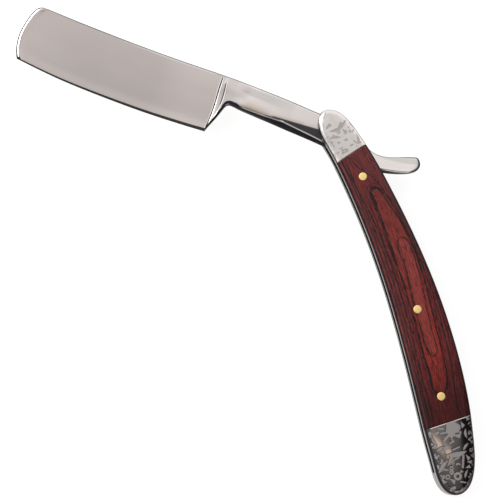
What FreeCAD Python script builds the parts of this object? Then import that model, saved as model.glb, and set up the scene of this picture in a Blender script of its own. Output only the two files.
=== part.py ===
"""Straight razor with a slotted handle: wedge-ground blade with tang and tail,
two metal liners, two wooden scales, four etched bolsters, pivot, rivets and spacer.

Frame: millimetres.  The razor lies on its back handle face, which is the plane z = 0.
+Z is the pivot axis and the thickness direction.  The origin is the pivot axis where it
meets the resting plane.  +X runs along the handle from the pivot to the butt.  The handle
is bowed: its convex back is towards +Y and its concave blade side towards -Y.
"""
import FreeCAD, Part
import math
import os

V = FreeCAD.Vector
os.makedirs("parts", exist_ok=True)

# ---------------------------------------------------------------- driving dimensions (mm)
scale_t = 3.1            # thickness of a wooden scale and of a bolster
liner_t = 1.1            # thickness of a metal liner
channel = 4.4            # clear gap between the liners, where the blade folds in
cover_round = 2.0        # rounding of the outer edges of scales and bolsters

z_back_liner = scale_t
z_channel = scale_t + liner_t
z_front_liner = z_channel + channel
z_front_cover = z_front_liner + liner_t
z_top = z_front_cover + scale_t
z_mid = z_top / 2.0

# bolster joint lines, each through two points across the handle
pivot_line = ((10.43, -5.67), (6.86, 7.31))
butt_line_x = 114.7

# pivot
pivot_r = 1.60           # pivot pin shank
tang_bore_r = 1.65       # bore in the tang: 0.05 running clearance
peen_r = 2.30            # peened head on each end of the pin
peen_t = 0.70
washer_r = 4.40
washer_t = 0.30
tang_t = 3.70            # tang thickness: leaves 0.05 each side at the washers

# scale rivets: (x, y) on the handle, brass, one set on each side
rivets = (("upper", 18.33, 2.32), ("middle", 71.98, 5.41), ("lower", 104.91, 3.16))
rivet_r = 1.50
rivet_sink_r = 2.10      # countersunk end in the liner
rivet_sink_t = 0.70

# butt spacer and its pin
spacer_r0 = 130.6        # distance from the pivot to the spacer's front wall
butt_pin_xy = (134.9, -1.0)
butt_pin_r = 1.25
butt_peen_r = 1.90
butt_peen_t = 0.60

# blade
rest_angle = 232.0       # direction of the blade about the pivot at rest, degrees
spine_h = 2.72           # half thickness of the spine

# handle outline, walked from the pivot end along the concave side to the butt and back
handle_pts = [
    (3.61, -6.30), (12.62, -4.86), (21.71, -3.90), (30.88, -3.19), (40.13, -2.7),
    (49.46, -2.5), (58.9, -2.56), (68.48, -2.88), (78.26, -3.41), (88.25, -4.13),
    (98.51, -5.01), (109.24, -6.02), (119.09, -6.9), (128.03, -7.45), (135.0, -7.38),
    (138.9, -5.5), (140.5, -2.0), (139.2, 2.0), (135.2, 5.4), (129.8, 7.8),
    (121.95, 9.95), (113.65, 11.8), (105.17, 13.2), (96.49, 14.2), (87.61, 14.85),
    (78.54, 15.18), (69.33, 15.18), (60.03, 14.84), (50.67, 14.2), (41.23, 13.28),
    (31.72, 12.1), (22.28, 10.72), (13.48, 9.2), (5.16, 7.3), (-2.67, 4.95),
    (-7.7, 2.45), (-10.16, -0.75), (-10.4, -4.07), (-7.68, -6.45), (-3.05, -7.38)]

# blade, in its own (s, t) axes: s away from the pivot, t towards the cutting edge
spine_pts = [(44.0, -7.08), (51.0, -7.02), (60.0, -6.85), (72.0, -6.74), (84.0, -6.84),
             (96.0, -7.10), (108.0, -7.46), (119.0, -7.86), (130.0, -8.20)]
edge_pts = [(44.0, 15.42), (51.0, 16.07), (60.0, 16.54), (72.0, 16.92), (84.0, 16.92),
            (96.0, 16.65), (108.0, 16.06), (119.0, 15.00), (130.0, 13.60)]
toe_pts = [(121.9, -7.96), (123.4, -7.80), (124.7, -7.32), (125.75, -6.40), (126.75, -4.65),
           (127.5, -2.35), (128.12, 0.15), (128.45, 1.90), (128.68, 3.60), (128.72, 5.60),
           (128.5, 7.70), (128.08, 9.80), (127.4, 11.70), (126.1, 14.80)]
heel_line = ((44.45, 3.30), (49.05, 15.75))
shoulder_s = 49.4        # the grind starts here; the shank ends here

# tang and tail outline, same axes, walked along the spine side and back
tang_pts = [(14.0, -5.98), (11.0, -5.83), (4.0, -5.25), (-2.0, -4.20), (-7.0, -2.20), (-11.0, 0.25),
            (-14.5, 1.50), (-18.0, 1.45), (-21.8, 0.30), (-25.2, -1.35), (-28.4, -2.62),
            (-30.7, -2.25), (-32.1, -0.70), (-32.3, 0.90), (-31.2, 2.80), (-28.3, 4.75),
            (-24.6, 6.30), (-20.0, 7.55), (-15.0, 8.40), (-10.0, 8.35), (-5.0, 7.45),
            (1.0, 6.28), (7.0, 5.60), (14.0, 5.10)]

# shank between tang and blade: (s, t on the spine side, t on the other side,
#   half thickness near the spine, at mid height, near the other side)
shank = [(9.0, -5.78, 5.45, 1.85, 1.85, 1.85), (20.0, -6.40, 4.78, 1.88, 1.92, 1.86),
         (28.0, -6.77, 4.22, 2.02, 1.98, 1.80), (36.0, -6.96, 3.68, 2.38, 2.04, 1.65),
         (43.0, -7.06, 3.28, 2.58, 2.06, 1.45), (49.4, -7.03, 3.98, 2.72, 2.06, 1.20)]

# half thickness of the blade below the spine: (depth, half thickness), for a 23.2 deep blade
flank = [(0.55, 2.58), (1.2, 2.72), (3.0, 2.50), (5.0, 2.24), (6.85, 1.99), (9.0, 1.70),
         (12.0, 1.30), (14.5, 0.97), (17.0, 0.66), (20.0, 0.33), (22.1, 0.20)]
bevel_end = (23.2, 0.03)
ref_depth = 23.2


# ---------------------------------------------------------------- helpers
def closed_spline(pts, z):
    c = Part.BSplineCurve()
    c.interpolate([V(x, y, z) for x, y in pts], PeriodicFlag=True)
    return c.toShape()


def open_spline(pts):
    c = Part.BSplineCurve()
    c.interpolate(pts)
    return c.toShape()


def lerp_list(table, s):
    """Smooth value of a table of (s, value) pairs at s."""
    c = Part.BSplineCurve()
    c.interpolate([V(a, b, 0) for a, b in table])
    lo, hi = c.FirstParameter, c.LastParameter
    for _ in range(60):
        m = 0.5 * (lo + hi)
        if c.value(m).x < s:
            lo = m
        else:
            hi = m
    return c.value(0.5 * (lo + hi)).y


def polygon_prism(pts, z0, z1):
    w = Part.makePolygon([V(x, y, z0) for x, y in pts] + [V(pts[0][0], pts[0][1], z0)])
    return Part.Face(w).extrude(V(0, 0, z1 - z0))


def cyl(r, x, y, z0, z1):
    return Part.makeCylinder(r, z1 - z0, V(x, y, z0))


def cone(ra, rb, x, y, z0, z1):
    return Part.makeCone(ra, rb, z1 - z0, V(x, y, z0))


def single(shape, name):
    solids = shape.Solids
    if len(solids) != 1:
        raise RuntimeError("%s came out as %d solids" % (name, len(solids)))
    return solids[0]


parts = {}


def keep(name, shape):
    s = single(shape, name)
    if not s.isValid():
        raise RuntimeError(name + " is not a valid solid")
    parts[name] = s
    return s


# ---------------------------------------------------------------- handle: plates in outline
def plate(z0, z1):
    w = Part.Wire([closed_spline(handle_pts, z0)])
    return Part.Face(w).extrude(V(0, 0, z1 - z0))


def cover(front):
    """Scale and bolsters of one side in one piece, outer edge rounded."""
    if front:
        body, z_out = plate(z_front_cover, z_top), z_top
    else:
        body, z_out = plate(0.0, scale_t), 0.0
    rim = [e for e in body.Edges
           if abs(e.BoundBox.ZMin - z_out) < 1e-6 and abs(e.BoundBox.ZMax - z_out) < 1e-6]
    return body.makeFillet(cover_round, rim)


# cutters along the bolster joint lines
(px0, py0), (px1, py1) = pivot_line
dx, dy = px1 - px0, py1 - py0
ln = math.hypot(dx, dy)
ux, uy = dx / ln, dy / ln
a = (px0 - 40 * ux, py0 - 40 * uy)
b = (px1 + 40 * ux, py1 + 40 * uy)
pivot_side = polygon_prism([a, b, (-60, b[1]), (-60, a[1])], -1, z_top + 1)
butt_side = polygon_prism([(butt_line_x, -40), (200, -40), (200, 40), (butt_line_x, 40)], -1, z_top + 1)

liner_holes_pivot = cyl(pivot_r, 0, 0, -1, z_top + 1)
liner_holes_butt = cyl(butt_pin_r, butt_pin_xy[0], butt_pin_xy[1], -1, z_top + 1)

for side in ("front", "back"):
    front = side == "front"
    z_in = z_front_cover if front else scale_t        # inner face of scale and bolsters
    z_ch = z_front_liner if front else z_channel      # liner face on the channel
    sgn = 1.0 if front else -1.0                      # outward direction
    z_out = z_top if front else 0.0

    body = cover(front)
    rivet_shapes = []
    for tag, rx, ry in rivets:
        stem = cyl(rivet_r, rx, ry, min(z_ch, z_out), max(z_ch, z_out))
        if front:
            head = cone(rivet_sink_r, rivet_r, rx, ry, z_ch, z_ch + rivet_sink_t)
        else:
            head = cone(rivet_r, rivet_sink_r, rx, ry, z_ch - rivet_sink_t, z_ch)
        rivet_shapes.append((tag, stem.fuse(head).removeSplitter()))

    scale = body.cut(pivot_side).cut(butt_side)
    for tag, r in rivet_shapes:
        scale = scale.cut(r)
    keep(side + "_scale", scale)

    # bolsters: blind recess on the inner face for the peened pin heads
    pb = body.common(pivot_side)
    z0, z1 = sorted((z_in, z_in + sgn * (peen_t + 0.1)))
    pb = pb.cut(cyl(peen_r + 0.1, 0, 0, z0, z1))
    keep(side + "_pivot_bolster", pb)
    bb = body.common(butt_side)
    z0, z1 = sorted((z_in, z_in + sgn * (butt_peen_t + 0.1)))
    bb = bb.cut(cyl(butt_peen_r + 0.1, butt_pin_xy[0], butt_pin_xy[1], z0, z1))
    keep(side + "_butt_bolster", bb)

    # liner, drilled for both pins and the rivets
    z0, z1 = sorted((z_ch, z_in))
    liner = plate(z0, z1).cut(liner_holes_pivot).cut(liner_holes_butt)
    for tag, r in rivet_shapes:
        liner = liner.cut(r)
    keep(side + "_liner", liner)

    for tag, r in rivet_shapes:
        keep("%s_scale_pin_%s" % (side, tag), r)

    # washer between the liner and the tang
    z0, z1 = sorted((z_ch, z_ch - sgn * washer_t))
    keep(side + "_pivot_washer", cyl(washer_r, 0, 0, z0, z1).cut(liner_holes_pivot))

# pivot pin with a peened head on each end, under the bolsters
pin = cyl(pivot_r, 0, 0, scale_t, z_front_cover)
pin = pin.fuse(cone(peen_r - 0.6, peen_r, 0, 0, scale_t - peen_t, scale_t))
pin = pin.fuse(cone(peen_r, peen_r - 0.6, 0, 0, z_front_cover, z_front_cover + peen_t))
keep("pivot_pin", pin.removeSplitter())

# butt spacer between the liners, its front wall an arc about the pivot
spacer = plate(z_channel, z_front_liner).cut(cyl(spacer_r0, 0, 0, 0, z_top)).cut(liner_holes_butt)
keep("butt_spacer", spacer)
bx, by = butt_pin_xy
bpin = cyl(butt_pin_r, bx, by, scale_t, z_front_cover)
bpin = bpin.fuse(cone(butt_peen_r - 0.5, butt_peen_r, bx, by, scale_t - butt_peen_t, scale_t))
bpin = bpin.fuse(cone(butt_peen_r, butt_peen_r - 0.5, bx, by, z_front_cover, z_front_cover + butt_peen_t))
keep("butt_pin", bpin.removeSplitter())


# ---------------------------------------------------------------- blade
def blade_section(s, k):
    """Closed wire across the blade at station s; k thins the spine near the shoulder."""
    top = lerp_list(spine_pts, s)
    depth = lerp_list(edge_pts, s) - top
    f = depth / ref_depth
    side = []
    for d, h in flank:
        hh = h
        if d < 9.5:                                   # only the thick part is thinned
            hh = min(h, spine_h * k) if k < 1 else h
        side.append((top + d * f, hh))
    bt, bh = top + bevel_end[0] * f, bevel_end[1]
    right = [V(s, t, h) for t, h in side]
    left = [V(s, t, -h) for t, h in side]
    crown = Part.Arc(left[0], V(s, top, 0), right[0])
    edges = [crown.toShape(), open_spline(right),
             Part.makeLine(right[-1], V(s, bt, bh)),
             Part.makeLine(V(s, bt, bh), V(s, bt, -bh)),
             Part.makeLine(V(s, bt, -bh), left[-1]),
             open_spline(left[::-1])]
    return Part.Wire(edges)


stations = [44.0, 51.0, 60.0, 72.0, 84.0, 96.0, 108.0, 119.0, 130.0]
blade = Part.makeLoft([blade_section(s, 1.0) for s in stations], True, False)
if not blade.isValid() or blade.Volume < 0:
    blade = blade.copy()
    blade.fix(1e-4, 1e-4, 1e-4)

# toe outline, slanted heel and the shoulder where the grind starts
(hx0, hy0), (hx1, hy1) = heel_line
hl = math.hypot(hx1 - hx0, hy1 - hy0)
low = (hx1 + 6 * (hx1 - hx0) / hl, hy1 + 6 * (hy1 - hy0) / hl)
corner = [(toe_pts[-1][0], toe_pts[-1][1]), (124.0, low[1]), low, (hx0, hy0), (shoulder_s, hy0 - 0.8),
          (shoulder_s, -14.0), (toe_pts[0][0], -14.0), (toe_pts[0][0], toe_pts[0][1])]
trim_edges = [open_spline([V(x, y, -5) for x, y in toe_pts])]
for (x0, y0), (x1, y1) in zip(corner[:-1], corner[1:]):
    trim_edges.append(Part.makeLine(V(x0, y0, -5), V(x1, y1, -5)))
trim = Part.Face(Part.Wire(trim_edges)).extrude(V(0, 0, 10))
blade = blade.common(trim)


def shank_section(s, ta, tb, ha, hm, hb):
    """Closed wire across the shank: rounded spine, slightly hollow sides, rounded underside."""
    r = 0.75
    right = [V(s, ta + r, ha), V(s, ta + 0.30 * (tb - ta), 0.5 * (ha + hm) + 0.06),
             V(s, 0.5 * (ta + tb), hm), V(s, tb - 0.28 * (tb - ta), 0.5 * (hb + hm) + 0.04), V(s, tb - r, hb)]
    left = [V(p.x, p.y, -p.z) for p in right]
    return Part.Wire([Part.Arc(left[0], V(s, ta, 0), right[0]).toShape(), open_spline(right),
                      Part.Arc(right[-1], V(s, tb, 0), left[-1]).toShape(), open_spline(left[::-1])])


shaft = Part.makeLoft([shank_section(*row) for row in shank], True, False)

# tang and tail plate, its long edges softened
w = Part.Wire([open_spline([V(x, y, -tang_t / 2) for x, y in tang_pts]),
               Part.makeLine(V(tang_pts[-1][0], tang_pts[-1][1], -tang_t / 2),
                             V(tang_pts[0][0], tang_pts[0][1], -tang_t / 2))])
tang = Part.Face(w).extrude(V(0, 0, tang_t))
rim = [e for e in tang.Edges if e.Length > 40 and abs(e.BoundBox.ZLength) < 1e-6]
tang = tang.makeFillet(1.1, rim)

print("volumes: blade %.1f shank %.1f tang %.1f" % (blade.Volume, shaft.Volume, tang.Volume))
razor = tang.fuse([shaft, blade]).removeSplitter()
razor = razor.cut(Part.makeCylinder(tang_bore_r, 20, V(0, 0, -10)))
razor = single(razor, "blade")
razor.rotate(V(0, 0, 0), V(0, 0, 1), rest_angle)
razor.translate(V(0, 0, z_mid))
keep("blade", razor)

for name in sorted(parts):
    parts[name].exportStep("parts/%s.step" % name)
    bb = parts[name].BoundBox
    print("%-24s vol %9.2f  faces %3d  x %7.2f..%7.2f  y %7.2f..%7.2f  z %6.2f..%6.2f" % (
        name, parts[name].Volume, len(parts[name].Faces), bb.XMin, bb.XMax, bb.YMin, bb.YMax, bb.ZMin, bb.ZMax))
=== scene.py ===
import math

import bpy
import numpy as np
from mathutils import Matrix, Vector
from mathutils.geometry import delaunay_2d_cdt


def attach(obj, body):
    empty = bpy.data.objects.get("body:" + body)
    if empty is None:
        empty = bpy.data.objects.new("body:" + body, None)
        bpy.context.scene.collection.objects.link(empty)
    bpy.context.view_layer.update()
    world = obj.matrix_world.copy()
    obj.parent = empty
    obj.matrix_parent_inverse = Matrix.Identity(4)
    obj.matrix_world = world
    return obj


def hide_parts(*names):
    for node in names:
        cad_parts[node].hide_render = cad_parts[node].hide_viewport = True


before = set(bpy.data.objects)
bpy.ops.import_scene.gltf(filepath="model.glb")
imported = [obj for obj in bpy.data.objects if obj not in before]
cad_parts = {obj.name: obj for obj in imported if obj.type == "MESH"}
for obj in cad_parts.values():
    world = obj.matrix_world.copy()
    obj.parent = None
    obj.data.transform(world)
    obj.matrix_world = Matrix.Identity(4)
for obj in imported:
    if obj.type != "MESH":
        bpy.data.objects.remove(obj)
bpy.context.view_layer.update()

# ------------------------------------------------------------------ sizes (mm), as in the CAD model
MM = 0.001
SCALE_T, LINER_T, CHANNEL = 3.1, 1.1, 4.4
Z_TOP = 2 * (SCALE_T + LINER_T) + CHANNEL
Z_MID = Z_TOP / 2
Z_FRONT = Z_TOP - SCALE_T
ROUND = 2.0
REST = math.radians(232.0)
RIVETS = [("upper", 18.33, 2.32), ("middle", 71.98, 5.41), ("lower", 104.91, 3.16)]
RIVET_R = 1.5
BUTT_X = 114.7
PIVOT_LINE = ((10.43, -5.67), (6.86, 7.31))
HANDLE = np.array([
    (3.61, -6.30), (12.62, -4.86), (21.71, -3.90), (30.88, -3.19), (40.13, -2.7),
    (49.46, -2.5), (58.9, -2.56), (68.48, -2.88), (78.26, -3.41), (88.25, -4.13),
    (98.51, -5.01), (109.24, -6.02), (119.09, -6.9), (128.03, -7.45), (135.0, -7.38),
    (138.9, -5.5), (140.5, -2.0), (139.2, 2.0), (135.2, 5.4), (129.8, 7.8),
    (121.95, 9.95), (113.65, 11.8), (105.17, 13.2), (96.49, 14.2), (87.61, 14.85),
    (78.54, 15.18), (69.33, 15.18), (60.03, 14.84), (50.67, 14.2), (41.23, 13.28),
    (31.72, 12.1), (22.28, 10.72), (13.48, 9.2), (5.16, 7.3), (-2.67, 4.95),
    (-7.7, 2.45), (-10.16, -0.75), (-10.4, -4.07), (-7.68, -6.45), (-3.05, -7.38)])
SPINE = [(40.0, -7.10), (44.0, -7.08), (51.0, -7.02), (60.0, -6.85), (72.0, -6.74), (84.0, -6.84),
         (96.0, -7.10), (108.0, -7.46), (119.0, -7.86), (130.0, -8.20)]
EDGE = [(44.0, 15.42), (51.0, 16.07), (60.0, 16.54), (72.0, 16.92), (84.0, 16.92),
        (96.0, 16.65), (108.0, 16.06), (119.0, 15.00), (130.0, 13.60)]
TOE = [(121.9, -7.96), (123.4, -7.80), (124.7, -7.32), (125.75, -6.40), (126.75, -4.65),
       (127.5, -2.35), (128.12, 0.15), (128.45, 1.90), (128.68, 3.60), (128.72, 5.60),
       (128.5, 7.70), (128.08, 9.80), (127.42, 11.70), (126.25, 14.12)]


# ------------------------------------------------------------------ small numeric helpers
def spline(pts, periodic=False):
    """C2 cubic through the points, chord-length parameter; returns f(u) for u in 0..1."""
    p = np.asarray(pts, float)
    if periodic:
        p = np.vstack([p, p[:1]])
    h = np.hypot(*np.diff(p[:, :2], axis=0).T) if p.shape[1] >= 2 else np.abs(np.diff(p[:, 0]))
    t = np.r_[0, np.cumsum(h)]
    n = len(p)
    A = np.zeros((n, n))
    B = np.zeros((n, p.shape[1]))
    for i in range(1, n - 1):
        A[i, i - 1], A[i, i], A[i, i + 1] = h[i - 1], 2 * (h[i - 1] + h[i]), h[i]
        B[i] = 6 * ((p[i + 1] - p[i]) / h[i] - (p[i] - p[i - 1]) / h[i - 1])
    if periodic:
        A[0, 0], A[0, n - 1] = 1, -1
        A[n - 1, 0], A[n - 1, 1] = 2 * (h[0] + h[-1]), h[0]
        A[n - 1, n - 2] = h[-1]
        B[n - 1] = 6 * ((p[1] - p[0]) / h[0] - (p[-1] - p[-2]) / h[-1])
    else:
        A[0, 0], A[0, 1] = 1, -1
        A[n - 1, n - 1], A[n - 1, n - 2] = 1, -1
    M = np.linalg.solve(A, B)

    def f(u):
        x = np.clip(np.asarray(u, float), 0, 1) * t[-1]
        i = np.clip(np.searchsorted(t, x, side="right") - 1, 0, n - 2)
        a, b, w = t[i], t[i + 1], h[i]
        ca, cb = ((b - x) / w)[..., None], ((x - a) / w)[..., None]
        return (ca * p[i] + cb * p[i + 1]
                + ((ca ** 3 - ca) * M[i] + (cb ** 3 - cb) * M[i + 1]) * (w ** 2 / 6)[..., None])
    f.length = t[-1]
    return f


def table(pts):
    """y(x) through the points, smooth."""
    f = spline(pts)
    q = f(np.linspace(0, 1, 4000))
    return lambda x: np.interp(x, q[:, 0], q[:, 1])


def smooth(a, b, x):
    x = np.clip((x - a) / (b - a), 0, 1)
    return x * x * (3 - 2 * x)


def make_object(name, verts_mm, faces, body, material, replaces=(), attrs=None, angle=30.0):
    me = bpy.data.meshes.new(name)
    me.from_pydata([tuple(v) for v in (np.asarray(verts_mm, float) * MM)], [], [tuple(int(i) for i in f) for f in faces])
    me.validate(clean_customdata=False)
    for key, val in (attrs or {}).items():
        val = np.asarray(val, np.float32)
        if val.ndim == 1:
            a = me.attributes.new(key, "FLOAT", "POINT")
            a.data.foreach_set("value", val.ravel())
        else:
            a = me.attributes.new(key, "FLOAT_VECTOR", "POINT")
            a.data.foreach_set("vector", val.ravel())
    me.update()
    me.shade_smooth()
    me.set_sharp_from_angle(angle=math.radians(angle))
    ob = bpy.data.objects.new(name, me)
    bpy.context.scene.collection.objects.link(ob)
    me.materials.append(material)
    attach(ob, body)
    if replaces:
        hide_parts(*replaces)
    return ob


# ------------------------------------------------------------------ node helpers
class Nodes:
    def __init__(self, name):
        self.mat = bpy.data.materials.new(name)
        self.mat.use_nodes = True
        self.t = self.mat.node_tree
        self.t.nodes.clear()
        self.out = self.t.nodes.new("ShaderNodeOutputMaterial")
        self.bsdf = self.t.nodes.new("ShaderNodeBsdfPrincipled")
        self.t.links.new(self.bsdf.outputs[0], self.out.inputs[0])

    def put(self, sock, val):
        if isinstance(val, bpy.types.NodeSocket):
            self.t.links.new(val, sock)
        elif val is not None:
            sock.default_value = val

    def set(self, **kw):
        for k, v in kw.items():
            self.put(self.bsdf.inputs[k.replace("_", " ")], v)

    def coord(self, kind="Object"):
        return self.t.nodes.new("ShaderNodeTexCoord").outputs[kind]

    def attr(self, name, out="Fac"):
        n = self.t.nodes.new("ShaderNodeAttribute")
        n.attribute_name = name
        return n.outputs[out]

    def mapping(self, vec, scale=(1, 1, 1), loc=(0, 0, 0), rot=(0, 0, 0)):
        n = self.t.nodes.new("ShaderNodeMapping")
        self.put(n.inputs["Vector"], vec)
        n.inputs["Location"].default_value = loc
        n.inputs["Rotation"].default_value = rot
        n.inputs["Scale"].default_value = scale
        return n.outputs[0]

    def noise(self, vec, scale=5.0, detail=2.0, rough=0.5, dist=0.0, out="Fac", lac=2.0):
        n = self.t.nodes.new("ShaderNodeTexNoise")
        self.put(n.inputs["Vector"], vec)
        self.put(n.inputs["Scale"], scale)
        self.put(n.inputs["Detail"], detail)
        self.put(n.inputs["Roughness"], rough)
        self.put(n.inputs["Distortion"], dist)
        self.put(n.inputs["Lacunarity"], lac)
        return n.outputs[out]

    def voronoi(self, vec, scale=5.0, feature="F1", out="Distance", rnd=1.0):
        n = self.t.nodes.new("ShaderNodeTexVoronoi")
        n.feature = feature
        self.put(n.inputs["Vector"], vec)
        self.put(n.inputs["Scale"], scale)
        self.put(n.inputs["Randomness"], rnd)
        return n.outputs[out]

    def math(self, op, a, b=None, c=None, clamp=False):
        n = self.t.nodes.new("ShaderNodeMath")
        n.operation = op
        n.use_clamp = clamp
        self.put(n.inputs[0], a)
        if b is not None:
            self.put(n.inputs[1], b)
        if c is not None:
            self.put(n.inputs[2], c)
        return n.outputs[0]

    def ramp(self, fac, stops, interp="LINEAR"):
        n = self.t.nodes.new("ShaderNodeValToRGB")
        self.put(n.inputs[0], fac)
        cr = n.color_ramp
        cr.interpolation = interp
        while len(cr.elements) > 1:
            cr.elements.remove(cr.elements[-1])
        for i, (p, c) in enumerate(stops):
            e = cr.elements[0] if i == 0 else cr.elements.new(p)
            e.position = p
            c = (c, c, c) if isinstance(c, (int, float)) else c
            e.color = (c[0], c[1], c[2], 1)
        return n.outputs[0]

    def mix(self, fac, a, b, mode="MIX"):
        n = self.t.nodes.new("ShaderNodeMix")
        n.data_type = "RGBA"
        n.blend_type = mode
        self.put(n.inputs[0], fac)
        for s, v in ((n.inputs[6], a), (n.inputs[7], b)):
            if isinstance(v, tuple) and len(v) == 3:
                v = (*v, 1)
            self.put(s, v)
        return n.outputs[2]

    def sep(self, vec):
        n = self.t.nodes.new("ShaderNodeSeparateXYZ")
        self.put(n.inputs[0], vec)
        return n.outputs

    def comb(self, x, y, z):
        n = self.t.nodes.new("ShaderNodeCombineXYZ")
        for s, v in zip(n.inputs, (x, y, z)):
            self.put(s, v)
        return n.outputs[0]

    def vadd(self, a, b, op="ADD"):
        n = self.t.nodes.new("ShaderNodeVectorMath")
        n.operation = op
        self.put(n.inputs[0], a)
        self.put(n.inputs[1], b)
        return n.outputs[0]

    def range(self, v, a, b, c=0.0, d=1.0):
        n = self.t.nodes.new("ShaderNodeMapRange")
        n.interpolation_type = "SMOOTHSTEP"
        for s, x in zip(n.inputs[:5], (v, a, b, c, d)):
            self.put(s, x)
        return n.outputs[0]

    def bump(self, height, strength=0.2, dist=0.0001, normal=None):
        n = self.t.nodes.new("ShaderNodeBump")
        n.inputs["Strength"].default_value = strength
        n.inputs["Distance"].default_value = dist
        self.put(n.inputs["Height"], height)
        if normal is not None:
            self.put(n.inputs["Normal"], normal)
        self.put(self.bsdf.inputs["Normal"], n.outputs[0])
        return n.outputs[0]


# ------------------------------------------------------------------ camera (first, so that it is easy to find)
# the view is square to the handle, seen from 525 mm, leaning 9.8 degrees towards the photo's lower side
F_PX = 1400.0
ALPHA = math.radians(72.0)


def photo_camera():
    off = np.array([212 - 250, 250 - 489], float)
    ang = math.atan(np.linalg.norm(off) / F_PX)
    d = off / np.linalg.norm(off)
    T = np.array([0, 0, 6.4])
    D = 525.0
    C = T + D * np.array([math.sin(ang) * d[0], math.sin(ang) * d[1], math.cos(ang)])
    fwd = (T - C) / np.linalg.norm(T - C)
    right = np.cross(fwd, (0, 1, 0)); right /= np.linalg.norm(right)
    up = np.cross(right, fwd)
    R = np.array([right, up, -fwd])
    ray = np.array([(340 - 250) / F_PX, (250 - 137) / F_PX, -1.0]) @ R      # pivot in the view
    p0 = C + ray * ((6.4 - C[2]) / ray[2])
    c, s = math.cos(ALPHA), math.sin(ALPHA)

    def turn(v):
        return np.array([v[0] * c - v[1] * s, v[0] * s + v[1] * c, v[2]])
    pos = turn(C - np.array([p0[0], p0[1], 0]))
    M = np.array([turn(right), turn(up), turn(-fwd)]).T
    cam = bpy.data.cameras.new("photo_camera")
    cam.lens = F_PX / 500.0 * 36.0
    cam.sensor_width = 36.0
    cam.clip_start, cam.clip_end = 0.02, 20.0
    ob = bpy.data.objects.new("photo_camera", cam)
    bpy.context.scene.collection.objects.link(ob)
    m = Matrix([[*M[0], pos[0] * MM], [*M[1], pos[1] * MM], [*M[2], pos[2] * MM], [0, 0, 0, 1]])
    ob.matrix_world = m
    bpy.context.scene.camera = ob
    return turn


to_row = photo_camera()          # turns a direction in the photo's axes into the row frame
bpy.context.scene.view_settings.view_transform = "Standard"      # so that a base colour shows as itself in even light


# ------------------------------------------------------------------ materials
def steel_blade():
    m = Nodes("mat_blade_steel")
    co = m.coord()
    rot = m.mapping(co, rot=(0, 0, -REST))      # blade axes: along the blade, across it
    sx, sy, sz = m.sep(rot)
    ground = m.attr("ground")                   # 1 on the ground face, 0 on shank and tail
    streak = m.noise(m.comb(m.math("MULTIPLY", sx, 5200.0), m.math("MULTIPLY", sy, 120.0), 0.0), 1.0, 3.0, 0.6)
    fine = m.noise(m.comb(m.math("MULTIPLY", sx, 200.0), m.math("MULTIPLY", sy, 4200.0), 3.0), 1.0, 2.0, 0.5)
    blotch = m.noise(m.comb(m.math("MULTIPLY", sx, 60.0), m.math("MULTIPLY", sy, 90.0), 0.0), 1.0, 3.0, 0.55)
    col = m.ramp(blotch, [(0.25, (0.800, 0.722, 0.698)), (0.75, (0.840, 0.765, 0.740))])
    col = m.mix(m.math("MULTIPLY", m.range(streak, 0.45, 0.85), 0.12), col, (0.70, 0.625, 0.60))
    along = m.ramp(m.range(sx, 0.045, 0.128), [(0.0, (1.0, 1.0, 1.0)), (0.12, (0.93, 0.93, 0.93)), (0.26, (0.80, 0.80, 0.80)), (0.42, (0.755, 0.755, 0.755)), (0.70, (0.700, 0.700, 0.700)), (1.0, (0.665, 0.665, 0.665))])
    col = m.mix(1.0, col, along, "MULTIPLY")
    col = m.mix(m.range(sy, 0.003, 0.015, 0.0, 1.0), col, m.mix(1.0, col, (0.90, 0.905, 0.905), "MULTIPLY"))
    shank = m.ramp(fine, [(0.3, (0.735, 0.695, 0.675)), (0.7, (0.775, 0.735, 0.715))])
    # painted sheen: the shank is painted lighter near the shoulder on its spine side
    near_sheen = m.ramp(fine, [(0.3, (0.900, 0.835, 0.815)), (0.7, (0.950, 0.885, 0.865))])
    shank = m.mix(m.math("MULTIPLY", m.range(sx, 0.026, 0.041), m.range(sy, -0.0005, -0.0040)), shank, near_sheen)
    col = m.mix(ground, shank, col)
    # painted warm reflection: a tan band low on the shank and a brownish line near the tail's lower edge
    col = m.mix(m.attr("warm_reflection"), col, m.mix(blotch, (0.60, 0.49, 0.42), (0.66, 0.55, 0.49)))
    painted_glint = m.attr("painted_glint")                     # painted highlights: glints along the spine, on the shoulder's scribed lines, round the toe's outline and on the shank's ridge
    col = m.mix(painted_glint, col, (0.97, 0.955, 0.94))
    edge = m.attr("edge")                       # the honed bevel, painted near black as a dark reflection
    shade_mask = m.range(m.attr("under"), 0.0, 0.92)  # painted shade and dark reflection on rolled edges, undersides, the spine line and the shank's cut
    col = m.mix(m.math("MULTIPLY", edge, 0.92), col, (0.035, 0.033, 0.034))
    tone = m.noise(co, 130.0, 2.0, 0.5)
    col = m.mix(shade_mask, col, m.ramp(tone, [(0.35, (0.0090, 0.0080, 0.0090)), (0.65, (0.0150, 0.0175, 0.0250))]))
    rgh_g = m.math("ADD", m.math("MULTIPLY", streak, 0.10), 0.27)
    rgh_s = m.math("ADD", m.math("MULTIPLY", fine, 0.05), 0.085)
    mixr = m.math("ADD", m.math("MULTIPLY", rgh_g, ground), m.math("MULTIPLY", rgh_s, m.math("SUBTRACT", 1.0, ground)))
    m.set(Base_Color=col, Metallic=m.math("SUBTRACT", 1.0, m.math("MULTIPLY", shade_mask, 0.92)), Roughness=m.math("ADD", mixr, m.math("MULTIPLY", shade_mask, 0.25)))
    m.bsdf.inputs["Specular IOR Level"].default_value = 0.12
    h = m.math("ADD", m.math("MULTIPLY", streak, ground), m.math("MULTIPLY", fine, 0.25))
    m.bump(h, 0.08, 0.00002)
    return m.mat


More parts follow.
